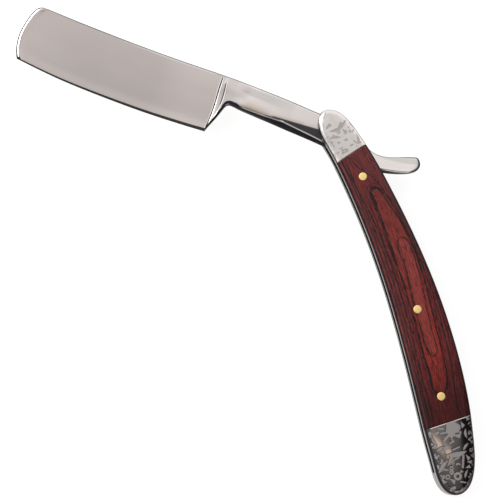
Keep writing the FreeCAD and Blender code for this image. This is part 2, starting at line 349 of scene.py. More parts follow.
def steel_plain(name, base, rough, grain=(400.0, 6000.0, 400.0), bump=0.08, tint=None):
    m = Nodes(name)
    co = m.coord()
    x, y, z = m.sep(co)
    g = m.noise(m.comb(m.math("MULTIPLY", x, grain[0]), m.math("MULTIPLY", y, grain[1]), m.math("MULTIPLY", z, grain[2])), 1.0, 3.0, 0.6)
    b = m.noise(co, 160.0, 3.0, 0.55)
    col = m.ramp(g, [(0.2, tuple(c * 0.86 for c in base)), (0.8, base)])
    col = m.mix(m.math("MULTIPLY", m.range(b, 0.5, 0.8), 0.25), col, tint or tuple(c * 0.7 for c in base))
    m.set(Base_Color=col, Metallic=1.0, Roughness=m.math("ADD", m.math("MULTIPLY", g, 0.14), rough))
    m.bump(g, bump, 0.00003)
    return m.mat


def steel_etched():
    m = Nodes("mat_etched_steel")
    co = m.coord()
    etch = m.attr("etch")
    grain = m.noise(co, 7000.0, 2.0, 0.6)
    pol = m.noise(m.mapping(co, scale=(500, 3600, 500)), 1.0, 2.0, 0.5)
    cloud = m.noise(co, 260.0, 3.0, 0.6)
    base = m.ramp(pol, [(0.3, (0.69, 0.650, 0.635)), (0.7, (0.735, 0.700, 0.685))])
    base = m.mix(m.math("MULTIPLY", m.range(cloud, 0.45, 0.7), 0.35), base, (0.60, 0.565, 0.55))
    matte = m.ramp(grain, [(0.3, (0.445, 0.418, 0.412)), (0.7, (0.510, 0.480, 0.474))])
    outline = m.math("SUBTRACT", 1.0, m.math("ABSOLUTE", m.math("SUBTRACT", m.math("MULTIPLY", etch, 2.0), 1.0)))
    col = m.mix(etch, base, matte)
    col = m.mix(m.math("MULTIPLY", outline, 0.42), col, (0.16, 0.147, 0.143))
    # painted shade and dark reflection on the rim, except where etched marks keep their colour
    shade_mask = m.math("MULTIPLY", m.range(m.attr("under"), 0.0, 0.92), m.math("SUBTRACT", 1.0, m.math("MULTIPLY", etch, m.attr("keep"))))
    col = m.mix(shade_mask, col, (0.0085, 0.0075, 0.0075))
    rough = m.math("ADD", m.math("MULTIPLY", etch, 0.42), m.math("ADD", m.math("MULTIPLY", pol, 0.02), 0.030))
    m.set(Base_Color=col, Metallic=m.math("SUBTRACT", 1.0, m.range(shade_mask, 0.6, 0.9)), Roughness=rough)
    m.bsdf.inputs["Specular IOR Level"].default_value = 0.10
    h = m.math("ADD", m.math("MULTIPLY", m.math("MULTIPLY", grain, etch), 0.8), m.math("MULTIPLY", pol, 0.1))
    m.bump(h, 0.08, 0.00002)
    return m.mat


def liner_steel():
    """Satin plate whose inner side, towards the channel, is dull and painted dark as shade inside the channel."""
    m = Nodes("mat_liner_steel")
    co = m.coord()
    x, y, z = m.sep(co)
    g = m.noise(m.comb(m.math("MULTIPLY", x, 5000.0), m.math("MULTIPLY", y, 700.0), m.math("MULTIPLY", z, 700.0)), 1.0, 3.0, 0.6)
    inner = m.math("ABSOLUTE", m.math("SUBTRACT", m.math("ABSOLUTE", m.math("SUBTRACT", z, Z_MID * MM)), CHANNEL / 2 * MM))
    # painted shade on the face towards the channel, which is also made rougher
    dull_shaded = m.range(inner, 0.00010, 0.00004)
    col = m.ramp(g, [(0.2, (0.27, 0.26, 0.25)), (0.8, (0.36, 0.35, 0.335))])
    col = m.mix(dull_shaded, col, (0.020, 0.018, 0.017))
    m.set(Base_Color=col, Metallic=m.math("SUBTRACT", 1.0, m.math("MULTIPLY", dull_shaded, 0.9)), Roughness=m.math("ADD", m.math("MULTIPLY", g, 0.14), m.math("ADD", 0.22, m.math("MULTIPLY", dull_shaded, 0.3))))
    m.bsdf.inputs["Specular IOR Level"].default_value = 0.15
    m.bump(g, 0.08, 0.00003)
    return m.mat


def brass(name, rough=0.12):
    m = Nodes(name)
    co = m.coord()
    g = m.noise(m.mapping(co, scale=(900, 6000, 900), rot=(0, 0, 0.6)), 1.0, 3.0, 0.6)
    b = m.noise(co, 900.0, 2.0, 0.5)
    col = m.ramp(g, [(0.2, (1.0, 0.75, 0.29)), (0.8, (1.0, 0.81, 0.36))])
    col = m.mix(m.math("MULTIPLY", m.range(b, 0.55, 0.8), 0.30), col, (0.86, 0.60, 0.20))
    m.set(Base_Color=col, Metallic=1.0, Roughness=m.math("ADD", m.math("MULTIPLY", g, 0.12), rough))
    m.bump(g, 0.12, 0.00003)
    return m.mat


def wood():
    """Laminated dark red wood: veneers cut through by the crowned face, so their joints show as nested ovals."""
    m = Nodes("mat_scale_wood")
    x, y, z = m.sep(m.attr("grain", "Vector"))  # mm: along the handle, across it, depth below the crown

    def field(sx, sy, sz, detail=3.0, rough=0.55, off=0.0, dist=0.0):
        return m.noise(m.comb(m.math("MULTIPLY", x, sx), m.math("MULTIPLY", m.math("ADD", y, off), sy), m.math("ADD", m.math("MULTIPLY", z, sz), off)),
                       1.0, detail, rough, dist)
    sway = m.math("MULTIPLY", m.math("SUBTRACT", field(0.07, 0.20, 1.0), 0.5), 1.6)
    shiver = m.math("MULTIPLY", m.math("SUBTRACT", field(0.40, 1.6, 1.0, off=7.3), 0.5), 0.75)
    w = m.math("ADD", m.math("MULTIPLY", sway, 0.35), shiver)

    def ring(name):
        return m.math("ADD", m.attr(name), w)
    r_out, r_mid, r_in, l_low, l_high = (ring(n) for n in ("ring_out", "ring_mid", "ring_in", "line_low", "line_high"))
    rim = m.attr("rim")

    yw = m.math("ADD", y, m.math("MULTIPLY", sway, 0.8))
    fibre = m.noise(m.comb(m.math("MULTIPLY", x, 0.20), m.math("MULTIPLY", yw, 2.6), m.math("MULTIPLY", z, 0.6)), 1.0, 4.0, 0.62)
    hair = m.noise(m.comb(m.math("MULTIPLY", x, 0.55), m.math("MULTIPLY", yw, 6.5), 5.0), 1.0, 3.0, 0.6)
    dash = m.noise(m.comb(m.math("MULTIPLY", x, 0.42), m.math("MULTIPLY", yw, 3.6), 9.1), 1.0, 2.0, 0.55)
    broad = m.noise(m.comb(m.math("MULTIPLY", x, 0.045), m.math("MULTIPLY", yw, 0.75), 11.0), 1.0, 3.0, 0.55)
    dense = m.noise(m.comb(m.math("MULTIPLY", x, 0.06), m.math("MULTIPLY", yw, 0.30), 31.0), 1.0, 2.0, 0.5)

    in_out = m.range(r_out, 0.25, -0.25)
    in_mid = m.range(r_mid, 0.25, -0.25)
    in_core = m.range(r_in, 0.25, -0.25)
    f = m.math("ADD", m.math("MULTIPLY", fibre, 0.7), m.math("MULTIPLY", hair, 0.3))
    c_edge = m.ramp(f, [(0.36, (0.042, 0.0085, 0.0095)), (0.52, (0.142, 0.0240, 0.0250)), (0.66, (0.205, 0.0380, 0.0360))])
    c_arch = m.ramp(f, [(0.36, (0.052, 0.0080, 0.0090)), (0.52, (0.150, 0.0205, 0.0200)), (0.66, (0.225, 0.0300, 0.0270))])
    c_ring = m.ramp(f, [(0.36, (0.070, 0.0110, 0.0105)), (0.52, (0.205, 0.0270, 0.0215)), (0.66, (0.290, 0.0420, 0.0320))])
    c_core = m.ramp(f, [(0.36, (0.120, 0.0180, 0.0160)), (0.52, (0.255, 0.0400, 0.0330)), (0.66, (0.340, 0.0600, 0.0500))])
    col = m.mix(in_out, c_edge, c_arch)
    c_low = m.ramp(f, [(0.36, (0.085, 0.0100, 0.0080)), (0.52, (0.250, 0.0260, 0.0190)), (0.66, (0.350, 0.0400, 0.0270))])
    c_ring = m.mix(m.range(x, 55.0, 85.0), c_ring, c_low)
    col = m.mix(in_mid, col, c_ring)
    col = m.mix(in_core, col, c_core)
    shade = m.math("MULTIPLY", in_core, m.range(r_in, -1.5, -0.1))
    col = m.mix(m.math("MULTIPLY", shade, 0.12), col, (0.055, 0.0095, 0.0100))
    col = m.mix(m.math("MULTIPLY", m.range(broad, 0.52, 0.70), 0.50), col, (0.036, 0.0065, 0.0080))
    # the lower end is darker
    col = m.mix(m.math("MULTIPLY", m.range(x, 86.0, 112.0), 0.68), col, (0.022, 0.0038, 0.0038))

    def line(r, at, half, soft):
        return m.range(m.math("ABSOLUTE", m.math("SUBTRACT", r, at)), soft, half)
    gaps = m.range(m.noise(m.comb(m.math("MULTIPLY", x, 0.22), m.math("MULTIPLY", y, 0.6), 21.0), 1.0, 3.0, 0.6), 0.36, 0.52, 0.55, 1.0)
    lines = m.math("MULTIPLY", line(r_in, 0.0, 0.10, 0.34), 0.86)
    lines = m.math("MAXIMUM", lines, m.math("MULTIPLY", line(r_mid, 0.0, 0.16, 0.38), 0.98))
    lines = m.math("MAXIMUM", lines, m.math("MULTIPLY", line(r_mid, 0.95, 0.04, 0.22), 0.75))
    lines = m.math("MAXIMUM", lines, m.math("MULTIPLY", line(r_out, 0.0, 0.14, 0.32), 0.97))
    lines = m.math("MAXIMUM", lines, m.math("MULTIPLY", line(r_out, 1.1, 0.02, 0.25), 0.5))
    lines = m.math("MAXIMUM", lines, m.math("MULTIPLY", line(l_low, 0.0, 0.08, 0.36), 0.85))
    lines = m.math("MAXIMUM", lines, m.math("MULTIPLY", line(l_low, -1.5, 0.03, 0.30), 0.7))
    lines = m.math("MAXIMUM", lines, m.math("MULTIPLY", line(l_high, 0.0, 0.05, 0.32), 0.8))
    lines = m.math("MULTIPLY", lines, gaps)
    col = m.mix(lines, col, (0.0085, 0.0050, 0.0055))
    many = m.range(dense, 0.40, 0.62, 0.45, 1.0)
    p = m.math("MULTIPLY", m.math("MULTIPLY", m.range(dash, 0.55, 0.61), many), 0.92)
    col = m.mix(p, col, (0.0120, 0.0050, 0.0055))
    h = m.math("MULTIPLY", m.range(hair, 0.56, 0.66), 0.50)
    col = m.mix(h, col, (0.020, 0.0065, 0.0070))
    # painted shade: the convex back is painted nearly black along its rolled edge, with a thin dark rim and line on the
    # other side
    back = m.math("MULTIPLY", m.range(rim, 1.15, 0.55), m.range(y, 3.0, 5.0))
    back = m.math("MAXIMUM", back, m.math("MULTIPLY", m.range(rim, 0.55, 0.35), m.range(y, 5.0, 3.0)))
    back = m.math("MAXIMUM", back, m.math("MULTIPLY", m.math("MULTIPLY", m.range(m.math("ABSOLUTE", m.math("SUBTRACT", rim, 1.55)), 0.34, 0.18), m.range(y, 5.0, 3.0)), 0.70))
    col = m.mix(m.math("MULTIPLY", back, 0.95), col, (0.0050, 0.0034, 0.0036))
    m.set(Base_Color=col, Roughness=m.math("ADD", m.math("MULTIPLY", fibre, 0.12), 0.20), IOR=1.45)
    m.bsdf.inputs["Coat Weight"].default_value = 0.0
    m.put(m.bsdf.inputs["Specular IOR Level"], m.range(rim, 0.55, 1.0, 0.03, 0.32))
    hb = m.math("SUBTRACT", m.math("MULTIPLY", fibre, 0.5), m.math("MULTIPLY", p, 0.8))
    m.bump(hb, 0.12, 0.00005)
    return m.mat


M_BLADE = steel_blade()
M_ETCH = steel_etched()
M_WOOD = wood()
M_BRASS = brass("mat_brass_rivet", 0.50)
M_WASHER = brass("mat_brass_washer", 0.30)
M_LINER = liner_steel()
M_PIN = steel_plain("mat_pin_steel", (0.58, 0.57, 0.56), 0.28)
M_SPACER = steel_plain("mat_spacer_steel", (0.24, 0.232, 0.225), 0.34, (900.0, 900.0, 6000.0))

for node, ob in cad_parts.items():
    mat = (M_LINER if "liner" in node else M_WASHER if "washer" in node else M_PIN if node in ("pivot_pin", "butt_pin")
           else M_SPACER if node == "butt_spacer" else None)
    if mat:
        ob.data.materials.clear()
        ob.data.materials.append(mat)

# ------------------------------------------------------------------ handle outline
outline = spline(HANDLE, periodic=True)
N_OUT = 1600
OUT = outline(np.linspace(0, 1, N_OUT + 1)[:-1])
OUT_T = np.roll(OUT, -1, 0) - np.roll(OUT, 1, 0)
OUT_T /= np.hypot(*OUT_T.T)[:, None]
OUT_N = np.c_[-OUT_T[:, 1], OUT_T[:, 0]]         # inward, since the outline is walked counter-clockwise


def rim_distance(p):
    """Distance from points inside the handle to its outline."""
    d = np.empty(len(p))
    for i in range(0, len(p), 2000):
        q = p[i:i + 2000]
        d[i:i + 2000] = np.sqrt(((q[:, None, :] - OUT[None, :, :]) ** 2).sum(2).min(1))
    return d


low = OUT[OUT_N[:, 1] > 0.3]
high = OUT[OUT_N[:, 1] < -0.3]
low = low[np.argsort(low[:, 0])]
high = high[np.argsort(high[:, 0])]


def across(x, y):
    lo = np.interp(x, low[:, 0], low[:, 1])
    hi = np.interp(x, high[:, 0], high[:, 1])
    return 8.9 * (y - 0.5 * (lo + hi)) / (0.5 * (hi - lo))


def seam_distance(p, which):
    """Signed distance to a joint line, positive on the scale's side."""
    if which == "pivot":
        (x0, y0), (x1, y1) = PIVOT_LINE
        l = math.hypot(x1 - x0, y1 - y0)
        n = np.array([(y1 - y0) / l, -(x1 - x0) / l])
        return (p - np.array([x0, y0])) @ n
    return BUTT_X - p[:, 0]


def point_in(p, poly):
    x, y = p[:, 0], p[:, 1]
    ins = np.zeros(len(p), bool)
    px, py = poly[:, 0], poly[:, 1]
    qx, qy = np.roll(px, -1), np.roll(py, -1)
    for a, b, c, d in zip(px, py, qx, qy):
        cond = (b > y) != (d > y)
        if cond.any():
            xi = (c - a) * (y - b) / (d - b + 1e-30) + a
            ins ^= cond & (x < xi)
    return ins


def shoulder(d):
    """Height of the cover's face below its crown at distance d from the rim."""
    r = ROUND
    h = np.where(d < r, r - np.sqrt(np.clip(r * r - (r - np.minimum(d, r)) ** 2, 0, None)), 0.0)
    return h


# ------------------------------------------------------------------ etched pattern of the bolsters
def seg_dist(p, a, b):
    a, b = np.array(a, float), np.array(b, float)
    ab = b - a
    t = np.clip(((p - a) @ ab) / max(ab @ ab, 1e-9), 0, 1)
    q = p - (a + t[:, None] * ab)
    return np.hypot(q[:, 0], q[:, 1])


def shape_field(p, shapes):
    """Smallest signed distance from each point to the etched shapes (negative inside)."""
    best = np.full(len(p), 9.0)
    for s in shapes:
        kind, x, y, size, rot = s[:5]
        c, si = math.cos(rot), math.sin(rot)
        q = (p - np.array([x, y])) @ np.array([[c, -si], [si, c]])
        if kind == "ring":
            d = np.abs(np.hypot(q[:, 0], q[:, 1]) - size) - s[5]
        elif kind == "dot":
            d = np.hypot(q[:, 0], q[:, 1]) - size
        elif kind == "dash":
            d = seg_dist(q, (-size, 0), (size, 0)) - s[5]
        elif kind == "tri":
            d = np.full(len(p), -9.0)
            for k in range(3):
                a = 2 * math.pi * k / 3 + 0.35 * math.sin(3 * k + size)
                d = np.maximum(d, q[:, 0] * math.cos(a) + q[:, 1] * math.sin(a) - size * (0.5 + 0.12 * k))
        elif kind == "arc":
            a = np.arctan2(q[:, 1], q[:, 0])
            w = s[5] * np.clip(1 - (np.abs(a) / s[6]) ** 2, 0, 1) ** 0.5
            d = np.where(np.abs(a) < s[6], np.abs(np.hypot(q[:, 0], q[:, 1]) - size) - w, 9.0)
        elif kind == "patch":
            a = np.arctan2(q[:, 1] / s[5], q[:, 0])
            d = np.hypot(q[:, 0], q[:, 1] / s[5] * size / 1.0 * (1.0 / size) * s[5]) - size * (1 + 0.13 * np.sin(3 * a + x) + 0.08 * np.sin(7 * a + y))
        elif kind == "leaf":
            L, W = size, s[5]
            u = np.clip(q[:, 0] / L, -1, 1)
            bend = s[6] * (1 - u * u)
            d = np.where(np.abs(q[:, 0]) < L, np.abs(q[:, 1] - bend) - W * (1 - np.abs(u) ** 1.6), 9.0)
        best = np.minimum(best, d)
    return best


def etch_mask(p, shapes, seed):
    """0..1, with slightly ragged edges."""
    d = shape_field(p + 0.05 * np.c_[np.sin(p[:, 1] * 9 + seed), np.sin(p[:, 0] * 8.3 + 2 * seed)], shapes)
    return 1 - smooth(-0.05, 0.07, d)


# the etched shapes, in handle coordinates: kind, x, y, size, turn, then the shape's own numbers
ETCH_PIVOT = [
    ("ring", -0.5, -0.9, 0.55, 0, 0.17), ("dot", 0.1, -3.1, 0.26, 0), ("tri", 0.3, 1.6, 0.95, 0.5),
    ("tri", 3.1, 0.9, 0.72, 1.5), ("dash", 5.7, 2.2, 0.62, 1.84, 0.24), ("arc", 3.9, -2.1, 0.62, 3.3, 0.24, 1.3),
    ("dash", 5.6, -1.9, 0.75, 1.84, 0.15), ("tri", 7.0, -1.7, 0.75, 0.2), ("tri", 6.9, -0.2, 0.85, 1.1),
    ("dash", 7.6, -1.0, 1.3, 1.84, 0.22), ("ring", 7.4, -4.6, 0.42, 0, 0.16), ("dash", 7.0, -3.8, 0.4, 1.8, 0.13),
    ("leaf", 1.3, -2.9, 2.5, 1.36, 0.50, 0.35), ("leaf", -2.1, -1.3, 3.4, 1.66, 0.62, -0.55),
    ("tri", -3.2, 1.0, 1.25, 2.2), ("dash", -3.4, 2.2, 1.0, 2.3, 0.28), ("leaf", 4.0, 4.9, 2.5, -0.12, 0.42, 0.45),
    ("dash", 5.0, 3.9, 0.8, 0.7, 0.22), ("tri", 0.6, 3.3, 0.6, 0.1), ("arc", 0.2, 3.9, 0.75, 1.0, 0.24, 1.1),
    ("tri", 5.6, 5.6, 0.55, 0.4), ("tri", -4.2, -3.4, 0.9, 1.9), ("leaf", -3.4, -4.0, 1.5, 1.9, 0.36, 0.2),
    
    ("leaf", -1.6, 4.7, 2.2, 0.45, 0.40, 0.3), ("ring", 2.6, -4.9, 0.5, 0, 0.16), ("dash", 4.6, -5.0, 0.6, 0.4, 0.2),
    ("dot", -1.2, 3.2, 0.22, 0), ("dot", 6.6, 3.9, 0.25, 0),
]
ETCH_BUTT = [
    ("dash", 121.7, 1.3, 0.85, 1.75, 0.24), ("dash", 121.1, 1.7, 0.60, 0.25, 0.22), ("tri", 122.8, -0.9, 1.0, 1.9),
    ("dash", 124.3, 2.0, 1.25, 1.68, 0.26), ("ring", 130.5, -1.9, 0.55, 0, 0.20), ("ring", 131.9, -2.3, 0.52, 0, 0.26),
    ("ring", 133.0, -4.2, 0.66, 0, 0.20), ("arc", 130.4, 0.7, 0.72, 2.9, 0.30, 1.4), ("dash", 130.2, -4.3, 1.0, 1.1, 0.24),
    ("tri", 135.2, -2.6, 0.85, 0.7), ("ring", 133.9, -0.7, 1.05, 0, 0.42), ("dash", 116.9, -2.9, 0.62, 1.75, 0.24),
    ("dash", 117.6, -0.6, 0.85, 1.5, 0.22), ("patch", 116.7, 3.3, 2.6, 1.75, 1.5), ("patch", 118.3, 2.2, 1.7, 0.9, 1.2),
    ("leaf", 119.9, 0.0, 2.3, 2.1, 0.42, 0.3), ("tri", 120.2, 4.2, 0.85, 1.2), ("dash", 120.0, 5.0, 1.0, 2.6, 0.3),
    ("leaf", 129.2, -4.6, 3.0, 2.25, 0.62, 0.35), ("leaf", 125.9, 1.6, 3.9, 1.45, 0.95, -0.6),
    ("leaf", 127.2, -1.4, 2.6, 2.5, 0.5, -0.3), ("dash", 129.5, 2.9, 2.1, -0.40, 0.36), ("leaf", 124.9, 5.6, 1.7, 2.2, 0.42, 0.25),
    ("arc", 126.6, -5.3, 1.1, 0.9, 0.34, 1.2), ("dash", 124.9, -5.6, 0.8, 1.7, 0.24), ("dash", 127.9, 0.6, 1.2, 1.7, 0.24),
    ("tri", 129.0, 5.3, 0.8, 0.4), ("leaf", 119.3, -4.6, 2.2, 0.2, 0.42, -0.35), ("ring", 117.0, -5.6, 0.5, 0, 0.2),
    ("tri", 131.9, 4.4, 0.75, 1.6), ("leaf", 134.2, 2.6, 1.7, 2.5, 0.40, 0.3), ("dash", 136.5, 0.4, 0.9, 1.1, 0.26),
    ("leaf", 122.8, -3.3, 1.8, 1.75, 0.38, 0.2), ("dash", 121.6, -6.5, 1.0, 0.1, 0.2), ("tri", 117.3, 7.2, 0.8, 0.2),
    ("leaf", 120.4, 7.4, 1.8, -0.2, 0.45, -0.4), ("dash", 123.2, 7.9, 0.7, 0.6, 0.22), ("ring", 126.6, 7.2, 0.5, 0, 0.2),
    ("dash", 115.9, -0.9, 0.9, 1.2, 0.2), ("tri", 137.4, -3.0, 0.6, 0.9), ("dot", 137.9, 1.9, 0.35, 0),
    ("tri", 132.6, 1.2, 0.6, 2.0), ("dot", 128.9, -6.9, 0.3, 0), ("dash", 134.0, -6.0, 0.8, 0.5, 0.22),
]


def ragged_rim(xs, side, seed, n, d_lo=0.25, d_hi=1.6):
    """Short marks scattered along the rounded rim."""
    rnd = np.random.RandomState(seed)
    out = []
    pool = [i for i in range(N_OUT) if xs[0] < OUT[i, 0] < xs[1] and OUT_N[i, 1] * side > 0.2]
    for k in range(n):
        i = pool[rnd.randint(len(pool))]
        c = OUT[i] + OUT_N[i] * rnd.uniform(d_lo, d_hi)
        kind = ("dash", "tri", "dot", "leaf")[rnd.randint(4)]
        if kind == "dash":
            out.append(("dash", c[0], c[1], rnd.uniform(0.25, 0.7), rnd.uniform(0, 3.1), rnd.uniform(0.12, 0.24)))
        elif kind == "tri":
            out.append(("tri", c[0], c[1], rnd.uniform(0.35, 0.8), rnd.uniform(0, 3.1)))
        elif kind == "dot":
            out.append(("dot", c[0], c[1], rnd.uniform(0.15, 0.36), 0))
        else:
            out.append(("leaf", c[0], c[1], rnd.uniform(0.6, 1.4), rnd.uniform(0, 3.1), rnd.uniform(0.16, 0.34), 0.15))
    return out


ETCH_PIVOT += ragged_rim((-10.5, 9.0), +1, 11, 46)
ETCH_BUTT += ragged_rim((115.5, 141.0), +1, 21, 30, 1.0, 2.0) + ragged_rim((115.5, 141.0), -1, 22, 44, 0.5, 1.8)

# ------------------------------------------------------------------ growth lines of the wood, as closed ovals and open lines
RING_OUT = [(9.9, -0.6), (12.5, 0.8), (18.3, 4.6), (26.0, 8.0), (35.0, 10.2), (48.0, 11.9), (62.0, 12.6), (76.0, 12.4), (90.0, 11.2),
            (100.0, 9.6), (112.0, 7.6), (122.0, 6.0), (122.0, -3.4), (112.0, -2.6), (100.0, -1.6), (88.0, -0.5), (76.0, 0.6), (64.0, 1.4),
            (52.0, 1.6), (40.0, 1.0), (30.0, -0.1), (20.0, -1.6), (13.0, -2.0), (9.9, -1.6)]
RING_MID = [(23.6, 4.4), (24.4, 6.2), (28.0, 7.4), (33.0, 8.7), (41.0, 10.6), (50.0, 11.6), (60.0, 11.5), (72.0, 10.6), (84.0, 9.4),
            (93.0, 8.6), (99.0, 7.6), (102.5, 6.0), (104.4, 4.0), (103.0, 1.9), (97.0, 1.6), (90.0, 1.9), (80.0, 2.6), (70.0, 3.2),
            (60.0, 3.5), (50.0, 3.4), (41.0, 3.2), (33.0, 3.3), (27.0, 3.1), (24.2, 3.4)]
RING_IN = [(44.6, 8.0), (45.4, 9.6), (49.5, 10.6), (56.0, 10.6), (64.0, 9.9), (72.0, 8.9), (80.0, 8.0), (86.0, 7.6), (89.6, 6.6),
           (90.2, 5.2), (88.4, 4.2), (84.0, 3.9), (77.0, 4.2), (69.0, 4.9), (60.0, 5.8), (52.0, 6.2), (46.5, 6.4)]
LINE_LOW = [(9.5, -4.1), (16.0, -2.4), (26.0, -1.2), (38.0, -0.2), (50.0, 0.2), (64.0, 0.0), (80.0, -0.9), (96.0, -2.3), (116.0, -4.4)]
LINE_HIGH = [(28.0, 10.6), (40.0, 12.4), (52.0, 13.3), (66.0, 13.8), (80.0, 13.4), (94.0, 12.3), (106.0, 10.9), (117.0, 9.6)]


# where the lines broaden into dark smudges: x, y, reach along, reach across, how much wider
SMUDGE = [(26.5, 3.6, 4.0, 1.5, 1.1), (33.0, 3.2, 6.0, 1.2, 1.6), (42.0, 3.1, 6.0, 1.2, 1.5), (50.0, 3.3, 5.0, 1.0, 0.8),
          (66.0, 5.2, 8.0, 1.0, 0.9), (80.0, 4.1, 7.0, 1.0, 1.2), (88.0, 4.3, 3.0, 1.0, 0.8), (96.0, 1.6, 7.0, 1.0, 0.6),
          (40.0, 10.6, 7.0, 1.0, 0.7), (54.0, 11.6, 6.0, 0.9, 0.5), (103.0, 5.4, 3.0, 1.4, 0.7), (24.0, 5.2, 2.0, 1.8, 0.8)]


def widen(p):
    w = np.ones(len(p))
    for x, y, ax, ay, k in SMUDGE:
        w += k * np.exp(-((p[:, 0] - x) / ax) ** 2 - ((p[:, 1] - y) / (ay * 1.6)) ** 2)
    return w


def curve_points(pts, closed, n=700):
    return spline(pts, periodic=closed)(np.linspace(0, 1, n, endpoint=not closed))


def signed_distance(p, pts, closed):
    c = curve_points(pts, closed)
    t = (np.roll(c, -1, 0) - np.roll(c, 1, 0))
    if not closed:
        t[0], t[-1] = c[1] - c[0], c[-1] - c[-2]
    out = np.empty(len(p))
    for i in range(0, len(p), 3000):
        q = p[i:i + 3000]
        d2 = ((q[:, None, :] - c[None]) ** 2).sum(2)
        k = d2.argmin(1)
        r = q - c[k]
        s = np.sign(t[k, 0] * r[:, 1] - t[k, 1] * r[:, 0])
        out[i:i + 3000] = np.sqrt(d2[np.arange(len(q)), k]) * s
    return out


# ------------------------------------------------------------------ cover pieces
def dist_points(c, step, ends=0.0):
    """Evenly spaced points on a polyline, with one more point close to each end."""
    l = np.r_[0, np.cumsum(np.hypot(*np.diff(c, axis=0).T))]
    k = max(3, int(round(l[-1] / step)))
    t = np.linspace(0, l[-1], k + 1)
    if ends:
        t = np.r_[0, ends, t[1:-1][(t[1:-1] > ends * 2) & (t[1:-1] < l[-1] - ends * 2)], l[-1] - ends, l[-1]]
    return t / l[-1]


def along(c, frac):
    l = np.r_[0, np.cumsum(np.hypot(*np.diff(c, axis=0).T))]
    t = np.asarray(frac) * l[-1]
    return np.c_[np.interp(t, l, c[:, 0]), np.interp(t, l, c[:, 1])]


REGION = {"pivot": lambda p: -seam_distance(p, "pivot"),
          "butt": lambda p: -seam_distance(p, "butt"),
          "scale": lambda p: np.minimum(seam_distance(p, "pivot"), seam_distance(p, "butt"))}
DENSE = spline(HANDLE, periodic=True)(np.linspace(0, 1, 12001)[:-1])
DT = np.roll(DENSE, -1, 0) - np.roll(DENSE, 1, 0)
DT /= np.hypot(*DT.T)[:, None]
DN = np.c_[-DT[:, 1], DT[:, 0]]


def clipped(region, d):
    """The outline moved in by d, cut to the region: one open chain for each stretch."""
    c = DENSE + DN * d
    f = REGION[region](c)
    ok = f > 0
    n = len(c)
    out = []
    for s in [i for i in range(n) if ok[i] and not ok[i - 1]]:
        a, b = f[s - 1], f[s]
        ch = [c[s - 1] + (c[s] - c[s - 1]) * (-a / (b - a))]
        i = s
        while ok[i % n]:
            ch.append(c[i % n]); i += 1
        a, b = f[(i - 1) % n], f[i % n]
        ch.append(c[(i - 1) % n] + (c[i % n] - c[(i - 1) % n]) * (a / (a - b)))
        out.append(np.array(ch))
    out.sort(key=lambda ch: ch[len(ch) // 2][1])
    return out


